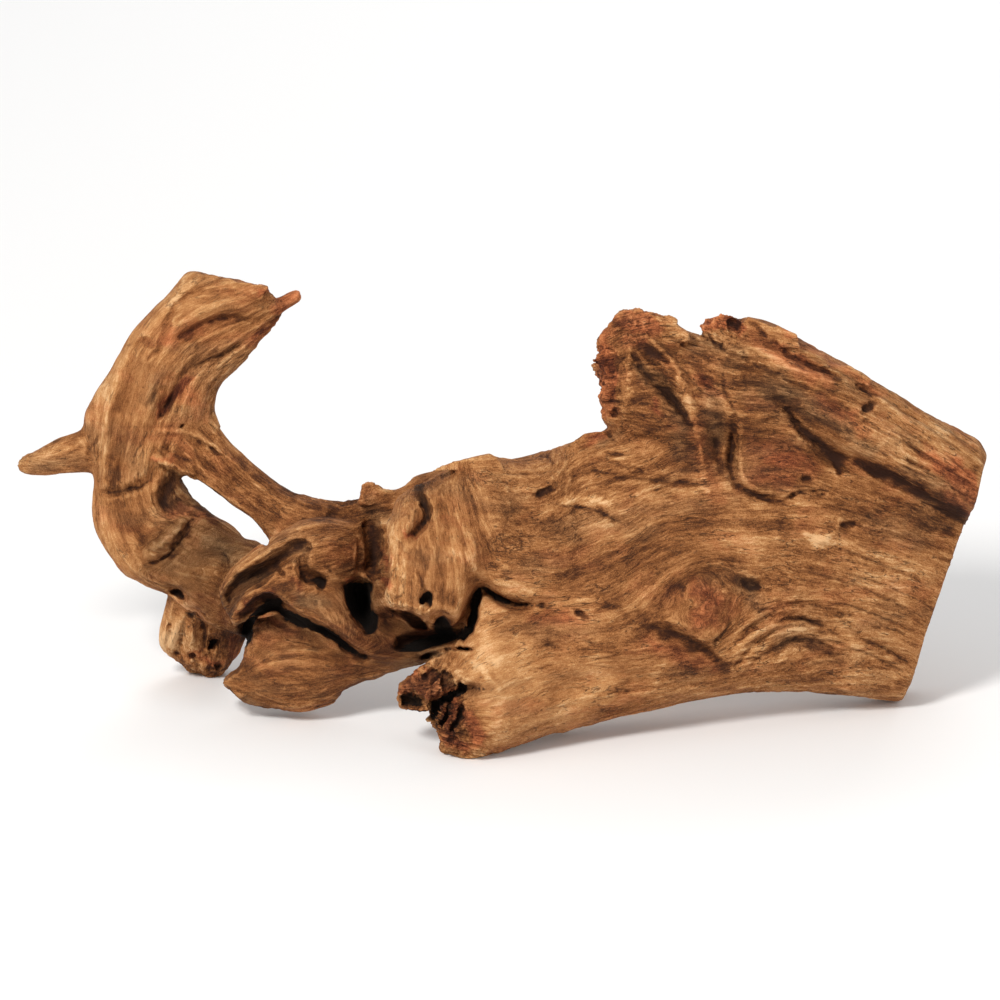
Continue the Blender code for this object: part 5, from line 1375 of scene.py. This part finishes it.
class Limb:
    """A limb's line, and the grain's coordinates round it: along, across and into the wood, in pixels."""

    def __init__(self, cuts):
        rows = smooth_through(cuts, GRAIN_SPANS)
        first, second = rows[:, 0:2], rows[:, 2:4]
        middle = (first + second) / 2
        up = (ORIGIN_V - middle[:, 1]) * PIXEL / MM
        into = (rows[:, 4] - up * math.sin(LEAN)) / math.cos(LEAN) * MM / PIXEL
        self.middle = np.column_stack((middle, into))
        self.half_width = np.hypot(*(second - first).T) / 2
        self.half_depth = rows[:, 5]
        self.side = (second - first) / 2 / self.half_width[:, None]
        lengths = np.linalg.norm(np.diff(self.middle, axis=0), axis=1)
        self.reached = np.concatenate(((0,), np.cumsum(lengths)))
        self.way = np.gradient(self.middle, axis=0)
        self.way /= np.linalg.norm(self.way, axis=1)[:, None]

    def read(self, pixels):
        """The grain's coordinates at each place, and how many half widths it is from the limb's line.

        Every sample of the line gives its own reading, and the nearer ones count most.
        """
        squared = np.stack([((pixels - middle) ** 2).sum(axis=1) for middle in self.middle])
        shares = np.exp((squared.min(axis=0) - squared) / (2 * LINE_SOFTNESS**2))
        shares /= shares.sum(axis=0)
        grain = np.zeros((len(pixels), 3))
        beyond = np.zeros(len(pixels))
        for k, share in enumerate(shares):
            apart = pixels - self.middle[k]
            along = apart @ self.way[k]
            grain[:, 0] += share * (self.reached[k] + along)
            grain[:, 1] += share * (apart[:, :2] @ self.side[k]) / self.half_width[k]
            grain[:, 2] += share * apart[:, 2] / self.half_depth[k]
            beyond += share * along / self.half_width[k]
        outside = np.sqrt(grain[:, 1] ** 2 + grain[:, 2] ** 2 + beyond**2)
        grain[:, 1] *= self.half_width.mean()
        grain[:, 2] *= self.half_depth.mean()
        return grain, outside


def round_knots(grain, pixels):
    """Leads a limb's grain round the knots."""
    for u, v, radius in KNOTS:
        apart = np.hypot(pixels[:, 0] - u, pixels[:, 1] - v)
        centre = grain[(apart + pixels[:, 2] * KNOT_FRONT).argmin()]
        off = grain - centre
        distance = np.hypot(off[:, 0] / KNOT_STRETCH, off[:, 1])
        beyond = distance > radius
        outer = centre[1] + off[:, 1] * (1 - (radius / np.maximum(distance, radius)) ** 2)
        grain[:, 1] = np.where(beyond, outer, centre[1] + KNOT_RINGS * (radius - distance))
        inner = np.flatnonzero(~beyond & (apart < 2 * radius))
        length, height = KNOT_WARP
        share = np.minimum(1, (radius - distance[inner]) / radius * KNOT_WARP_RIM)
        grain[inner, 1] += share * height * noise_at(pixels[inner] / length, 3)


def grain_of(limbs, pixels):
    """For each limb, how much of the wood at each place is its own and its grain's coordinates there."""
    waves = np.zeros((len(pixels), 3))
    for length, height in WARP:
        for axis in (1, 2):
            waves[:, axis] += height * noise_at(pixels / length + WARP_APART * axis, 2)
    found = [limb.read(pixels) for limb in limbs]
    outside = np.stack([limb_outside for _, limb_outside in found])
    shares = np.exp(-BLEND_SHARPNESS * (outside - outside.min(axis=0)))
    shares /= shares.sum(axis=0)
    grains = []
    for k, (grain, _) in enumerate(found):
        grain += waves + LIMB_APART * k
        round_knots(grain, pixels)
        grains.append(grain)
    return shares, grains


def furrow(piece, limbs):
    """Long furrows down the grain, low swellings, and crumbled wood at the torn and rotten places."""
    points, normals = read_points(piece)
    pixels = to_pixels(points)
    heights = np.zeros(len(pixels))
    middle, least, most = WEAR
    worn = np.clip(middle + noise_at(pixels / WEAR_LENGTH, 2), least, most)
    worn *= 1 - CALM_FURROWS * np.minimum(stroke_depths(pixels, CALM_STAINS, STAIN_POWER), 1)
    for share, grain in zip(*grain_of(limbs, pixels)):
        own = np.flatnonzero(share > LEAST_SHARE)
        length, width, height = LOW_SWELLS
        heights[own] += share[own] * height * noise_at(grain[own] / (length, width, width), 2)
        for length, width, height in GRAIN_WAVES:
            waves = np.abs(noise_at(grain[own] / (length, width, 2 * width), 2))
            crests = np.minimum(waves, FURROW_CREST) * 2 - FURROW_SINK
            heights[own] += share[own] * worn[own] * height * crests
    rough = np.zeros(len(pixels))
    for u, v, reach, height in ROUGH_SPOTS:
        near = 1 - np.hypot(pixels[:, 0] - u, pixels[:, 1] - v) / reach
        rough = np.maximum(rough, height * np.clip(2 * near, 0, 1))
    for i in np.flatnonzero(rough):
        heights[i] += rough[i] * (noise.turbulence(Vector(pixels[i] / CRUMB), 3, True) - CRUMB_SINK)
    resting = points[:, 2] < REST_HEIGHT
    sawn = normals[:, 0] > SAWN_FACING
    heights[resting] = 0
    heights[sawn] *= SAWN_RELIEF
    write_points(piece, points + normals * (heights * PIXEL)[:, None])


def thin(piece):
    """Fewer triangles: first behind, where the sight along the plane doesn't reach, then all over."""
    split = piece.modifiers.new("split", "TRIANGULATE")
    split.keep_custom_normals = False
    as_modified(piece)
    _, normals = read_points(piece)
    behind = normals @ INTO_PLANE > BEHIND
    group = piece.vertex_groups.new(name="behind")
    group.add(np.flatnonzero(behind).tolist(), 1.0, "REPLACE")
    corners = np.empty(len(piece.data.polygons) * 3, np.int32)
    piece.data.polygons.foreach_get("vertices", corners)
    seen = (~behind[corners.reshape(-1, 3)]).any(axis=1).sum()
    for triangles, chosen in ((seen + BACK_TRIANGLES, "behind"), (FINAL_TRIANGLES, "")):
        less = piece.modifiers.new("thin", "DECIMATE")
        less.ratio = min(1.0, triangles / len(piece.data.polygons))
        less.vertex_group = chosen
        as_modified(piece)
    piece.vertex_groups.clear()


def without_strays(piece):
    """Leaves only the largest joined skin, without the specks beside it, and joins points in one place."""
    body = bmesh.new()
    body.from_mesh(piece.data)
    bmesh.ops.remove_doubles(body, verts=body.verts, dist=SAME_PLACE)
    left = set(body.faces)
    skins = []
    while left:
        skin = [left.pop()]
        for face in skin:
            for edge in face.edges:
                if len(edge.link_faces) == 2:
                    joined = left.intersection(edge.link_faces)
                    left -= joined
                    skin.extend(joined)
        skins.append(skin)
    skins.sort(key=len)
    strays = [face for skin in skins[:-1] for face in skin]
    bmesh.ops.delete(body, geom=strays, context="FACES")
    body.to_mesh(piece.data)
    body.free()


def hollowness(piece, rounds):
    """How far each point lies below the surface averaged round it, in millimetres."""
    points, normals = read_points(piece)
    edges = np.empty(len(piece.data.edges) * 2, np.int32)
    piece.data.edges.foreach_get("vertices", edges)
    ends = np.concatenate((edges.reshape(-1, 2), edges.reshape(-1, 2)[:, ::-1]))
    count = np.bincount(ends[:, 0], minlength=len(points))[:, None]
    smooth = points.copy()
    for _ in range(rounds):
        sums = [np.bincount(ends[:, 0], smooth[ends[:, 1], k], len(points)) for k in range(3)]
        smooth = np.stack(sums, axis=1) / count
    return ((smooth - points) * normals).sum(axis=1) / MM


def store(piece, name, kind, values):
    layer = piece.data.attributes.new(name, kind, "POINT")
    part = "vector" if kind == "FLOAT_VECTOR" else "value"
    layer.data.foreach_set(part, values.astype(np.float32).ravel())


def mark(piece, limbs, pits):
    """Stores what the material reads: the grain's coordinates, the depth in pits and cracks for their
    painted shade, the hollows and the stains, which hold painted highlights and shade too.
    """
    points, _ = read_points(piece)
    pixels = to_pixels(points)
    shares, grains = grain_of(limbs, pixels)
    for number, limb_set in enumerate(LIMB_SETS):
        share = sum(shares[k] for k in limb_set)
        total = sum(shares[k][:, None] * grains[k] for k in limb_set)
        store(piece, f"grain_{number}", "FLOAT_VECTOR", total / np.maximum(share, SMALLEST_SHARE)[:, None])
        store(piece, f"share_{number}", "FLOAT", share)
    store(piece, "pit_shade", "FLOAT", pit_shade_depths(piece, pits))
    for name, rounds in HOLLOW_ROUNDS.items():
        store(piece, name, "FLOAT", hollowness(piece, rounds))
    stained = wandered(pixels, STAIN_WAVES)
    for name, strokes in STAINS_AND_PAINTED_LIGHT.items():
        store(piece, name, "FLOAT", stroke_depths(stained, strokes, STAIN_POWER))


def linear(red, green, blue):
    """A colour given as 0 to 255, as the shader takes it."""
    shares = [value / 255 for value in (red, green, blue)]
    return (*[s / 12.92 if s <= 0.04045 else ((s + 0.055) / 1.055) ** 2.4 for s in shares], 1.0)


class Shading:
    """Short names for making and joining a material's nodes."""

    def __init__(self, material):
        material.use_nodes = True
        self.tree = material.node_tree
        self.shader = self.tree.nodes["Principled BSDF"]

    def link(self, source, target):
        self.tree.links.new(source, target)

    def read(self, name, output="Fac"):
        """One of the values that mark() stored, or with the output Vector one of the coordinates."""
        node = self.tree.nodes.new("ShaderNodeAttribute")
        node.attribute_name = name
        return node.outputs[output]

    def place(self):
        return self.tree.nodes.new("ShaderNodeNewGeometry").outputs["Position"]

    def noise(self, vector, scale, detail, roughness, distortion=0.0):
        stretch = self.tree.nodes.new("ShaderNodeVectorMath")
        stretch.operation = "MULTIPLY"
        stretch.inputs[1].default_value = scale
        self.link(vector, stretch.inputs[0])
        node = self.tree.nodes.new("ShaderNodeTexNoise")
        node.inputs["Scale"].default_value = 1.0
        node.inputs["Detail"].default_value = detail
        node.inputs["Roughness"].default_value = roughness
        node.inputs["Distortion"].default_value = distortion
        self.link(stretch.outputs[0], node.inputs["Vector"])
        return node.outputs["Fac"]

    def woven(self, *look):
        """A noise along the grain, out of every set of limbs."""
        total = 0.0
        for number, _ in enumerate(LIMB_SETS):
            pattern = self.noise(self.read(f"grain_{number}", "Vector"), *look)
            own = self.math("MULTIPLY", pattern, self.read(f"share_{number}"))
            total = self.math("ADD", own, total)
        return total

    def span(self, value, low, high, to_low=0.0, to_high=1.0):
        node = self.tree.nodes.new("ShaderNodeMapRange")
        node.interpolation_type = "SMOOTHSTEP"
        names = ("From Min", "From Max", "To Min", "To Max")
        for name, number in zip(names, (low, high, to_low, to_high)):
            node.inputs[name].default_value = number
        self.link(value, node.inputs["Value"])
        return node.outputs["Result"]

    def math(self, operation, first, second=0.0):
        node = self.tree.nodes.new("ShaderNodeMath")
        node.operation = operation
        for socket, value in zip(node.inputs, (first, second)):
            if isinstance(value, float):
                socket.default_value = value
            else:
                self.link(value, socket)
        return node.outputs[0]

    def mix(self, factor, first, second):
        node = self.tree.nodes.new("ShaderNodeMix")
        node.data_type = "RGBA"
        for name, value in (("Factor_Float", factor), ("A_Color", first), ("B_Color", second)):
            socket = next(s for s in node.inputs if s.identifier == name)
            if isinstance(value, (float, tuple)):
                socket.default_value = value
            else:
                self.link(value, socket)
        return next(s for s in node.outputs if s.identifier == "Result_Color")

    def ramp(self, value, stops):
        node = self.tree.nodes.new("ShaderNodeValToRGB")
        band = node.color_ramp
        while len(band.elements) < len(stops):
            band.elements.new(0.5)
        for element, (place, colour) in zip(band.elements, stops):
            element.position = place
            element.color = linear(*colour)
        self.link(value, node.inputs["Fac"])
        return node.outputs["Color"]

    def bump(self, height, distance):
        node = self.tree.nodes.new("ShaderNodeBump")
        node.inputs["Strength"].default_value = 1.0
        node.inputs["Distance"].default_value = distance
        self.link(height, node.inputs["Height"])
        return node.outputs["Normal"]


def wood_tone(nodes, parts, loud):
    """How light the wood is, from the patterns, the stains with their painted highlights and shade, and
    painted shade in the hollows.
    """
    fine, broad = nodes.read("fine_hollow"), nodes.read("broad_hollow")
    # Pale stains lift the tone, with painted highlights among them
    tone = nodes.math("MULTIPLY", nodes.read("pale"), PALE_LIFT)
    # Dark stains drop the tone, with painted shade and shadows among them
    tone = nodes.math("SUBTRACT", tone, nodes.math("MULTIPLY", nodes.read("dark"), DARK_DROP))
    # Painted shade in the fine and broad hollows, and a lighter tone on ridges
    tone = nodes.math("SUBTRACT", tone, nodes.math("MULTIPLY", nodes.span(fine, *FINE_HOLLOW_SHADE), loud))
    tone = nodes.math("SUBTRACT", tone, nodes.span(broad, *BROAD_HOLLOW_SHADE))
    tone = nodes.math("ADD", tone, nodes.span(fine, *RIDGE_LIFT))
    pattern_sum = -sum(share for share, _ in parts) / 2
    for share, pattern in parts:
        pattern_sum = nodes.math("ADD", nodes.math("MULTIPLY", pattern, share), pattern_sum)
    tone = nodes.math("ADD", tone, MIDDLE_TONE)
    tone = nodes.math("ADD", tone, nodes.math("MULTIPLY", pattern_sum, loud))
    return nodes.span(tone, *TONE_SPAN)


def tinted(nodes, colour, tone, name, field, span, share, stops):
    """The colour, turned towards another wood where a stain and a field say so."""
    tint = nodes.span(nodes.noise(nodes.place(), *field), *span)
    tint = nodes.math("ADD", nodes.read(name), nodes.math("MULTIPLY", tint, share))
    return nodes.mix(nodes.math("MINIMUM", tint, MOST_TINT), colour, nodes.ramp(tone, stops))


def short_cracks(nodes, loud):
    """Short dark cracks down the grain, in clusters."""
    off_middle = nodes.math("ABSOLUTE", nodes.math("SUBTRACT", nodes.woven(*CRACK_LINES), 0.5))
    line = nodes.span(off_middle, *CRACK_WIDTH, 1.0, 0.0)
    cluster = nodes.span(nodes.noise(nodes.place(), *CRACK_FIELD), *CRACK_FIELD_SPAN)
    return nodes.math("MULTIPLY", nodes.math("MULTIPLY", line, cluster), loud)


def wood_material():
    material = bpy.data.materials.new("driftwood_weathered")
    nodes = Shading(material)
    along = [nodes.woven(*look) for _, *look in GRAIN_PATTERNS]
    across = [nodes.noise(nodes.place(), *look) for _, *look in PLACE_PATTERNS]
    shares = [share for share, *_ in GRAIN_PATTERNS + PLACE_PATTERNS]
    _, streaks, fibres, _ = along

    calm = nodes.math("MINIMUM", nodes.read("calm"), 1.0)
    loud = nodes.math("SUBTRACT", 1.0, nodes.math("MULTIPLY", calm, CALM_TONES))
    tone = wood_tone(nodes, list(zip(shares, along + across)), loud)
    colour = nodes.ramp(tone, OCHRE_WOOD)
    colour = tinted(nodes, colour, tone, "red", RED_FIELD, RED_SPAN, RED_SHARE, RED_WOOD)
    colour = tinted(nodes, colour, tone, "grey", GREY_FIELD, GREY_SPAN, GREY_SHARE, GREY_WOOD)
    cracks = short_cracks(nodes, loud)
    colour = nodes.mix(nodes.math("MULTIPLY", cracks, CRACK_SHARE), colour, linear(*CRACK_COLOUR))
    # Painted shade in the pits and cracks, near black where they are deep
    for depths, dark in PIT_SHADE_COLOURS:
        colour = nodes.mix(nodes.span(nodes.read("pit_shade"), *depths), colour, linear(*dark))
    nodes.link(colour, nodes.shader.inputs["Base Color"])

    nodes.link(nodes.span(fibres, *FIBRE_ROUGHNESS), nodes.shader.inputs["Roughness"])
    nodes.shader.inputs["Specular IOR Level"].default_value = SPECULAR

    relief = nodes.math("MULTIPLY", streaks, STREAK_RELIEF)
    relief = nodes.math("ADD", relief, nodes.math("MULTIPLY", fibres, FIBRE_RELIEF))
    relief = nodes.math("SUBTRACT", relief, nodes.math("MULTIPLY", cracks, CRACK_RELIEF))
    nodes.link(nodes.bump(relief, RELIEF_HEIGHT), nodes.shader.inputs["Normal"])
    return material


def made_wood(node):
    piece = bpy.data.objects.new("weathered_wood", node.data.copy())
    bpy.context.scene.collection.objects.link(piece)
    piece.data.materials.clear()
    cad_points, _ = read_points(piece)
    notch(piece)
    evened(piece, ROUNDED_VOXEL, ROUNDING)
    add_shards(piece)
    evened(piece, CARVED_VOXEL, 1)
    pull(piece)
    pits = carve(piece)
    evened(piece, GRAINED_VOXEL, 1)
    limbs = [Limb(cuts) for cuts in GRAIN_LIMBS]
    furrow(piece, limbs)
    thin(piece)
    points, _ = read_points(piece)
    write_points(piece, np.clip(points, cad_points.min(axis=0), cad_points.max(axis=0)))
    without_strays(piece)
    mark(piece, limbs, pits)
    piece.data.materials.append(wood_material())
    piece.data.shade_smooth()
    return piece


def place_camera():
    lens = bpy.data.cameras.new("camera")
    lens.lens = LENS
    camera = bpy.data.objects.new("camera", lens)
    bpy.context.scene.collection.objects.link(camera)
    away = FRAME_WIDTH * LENS / lens.sensor_width
    camera.location = from_pixel(*LOOK_AT) - INTO_PLANE * away
    camera.rotation_euler = Vector(INTO_PLANE).to_track_quat("-Z", "Y").to_euler()
    lens.clip_start, lens.clip_end = away / 100, away * 10
    bpy.context.scene.camera = camera


def add_light(name, place, size, power, colour):
    lamp = bpy.data.lights.new(name, "AREA")
    lamp.shape = "DISK"
    lamp.size = size
    lamp.energy = power
    lamp.color = colour
    light = bpy.data.objects.new(name, lamp)
    light.location = place
    light.rotation_euler = (Vector(LIGHTS_AIM) - Vector(place)).to_track_quat("-Z", "Y").to_euler()
    bpy.context.scene.collection.objects.link(light)


def make_studio():
    for light in LIGHTS:
        add_light(*light)
    world = bpy.data.worlds.new("studio")
    world.use_nodes = True
    background = world.node_tree.nodes["Background"]
    background.inputs["Color"].default_value = (1.0, 1.0, 1.0, 1.0)
    background.inputs["Strength"].default_value = WORLD_LIGHT
    bpy.context.scene.world = world
    bpy.ops.mesh.primitive_circle_add(vertices=FLOOR_SIDES, radius=FLOOR_RADIUS, fill_type="NGON")
    floor = bpy.context.object
    floor.name = "floor"
    pale = bpy.data.materials.new("pale_floor")
    pale.use_nodes = True
    shader = pale.node_tree.nodes["Principled BSDF"]
    shader.inputs["Base Color"].default_value = FLOOR_COLOUR
    shader.inputs["Roughness"].default_value = FLOOR_ROUGHNESS
    floor.data.materials.append(pale)
    bpy.context.scene.view_settings.view_transform = "Standard"


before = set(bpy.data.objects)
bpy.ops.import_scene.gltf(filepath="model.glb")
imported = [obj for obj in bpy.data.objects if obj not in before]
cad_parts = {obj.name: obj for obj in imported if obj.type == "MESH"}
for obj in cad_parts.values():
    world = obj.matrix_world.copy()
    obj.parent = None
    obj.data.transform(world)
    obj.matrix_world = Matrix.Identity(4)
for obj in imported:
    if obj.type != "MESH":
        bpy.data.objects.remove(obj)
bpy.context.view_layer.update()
place_camera()
make_studio()
wood = made_wood(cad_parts["driftwood"])
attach(wood, "root")
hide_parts("driftwood")
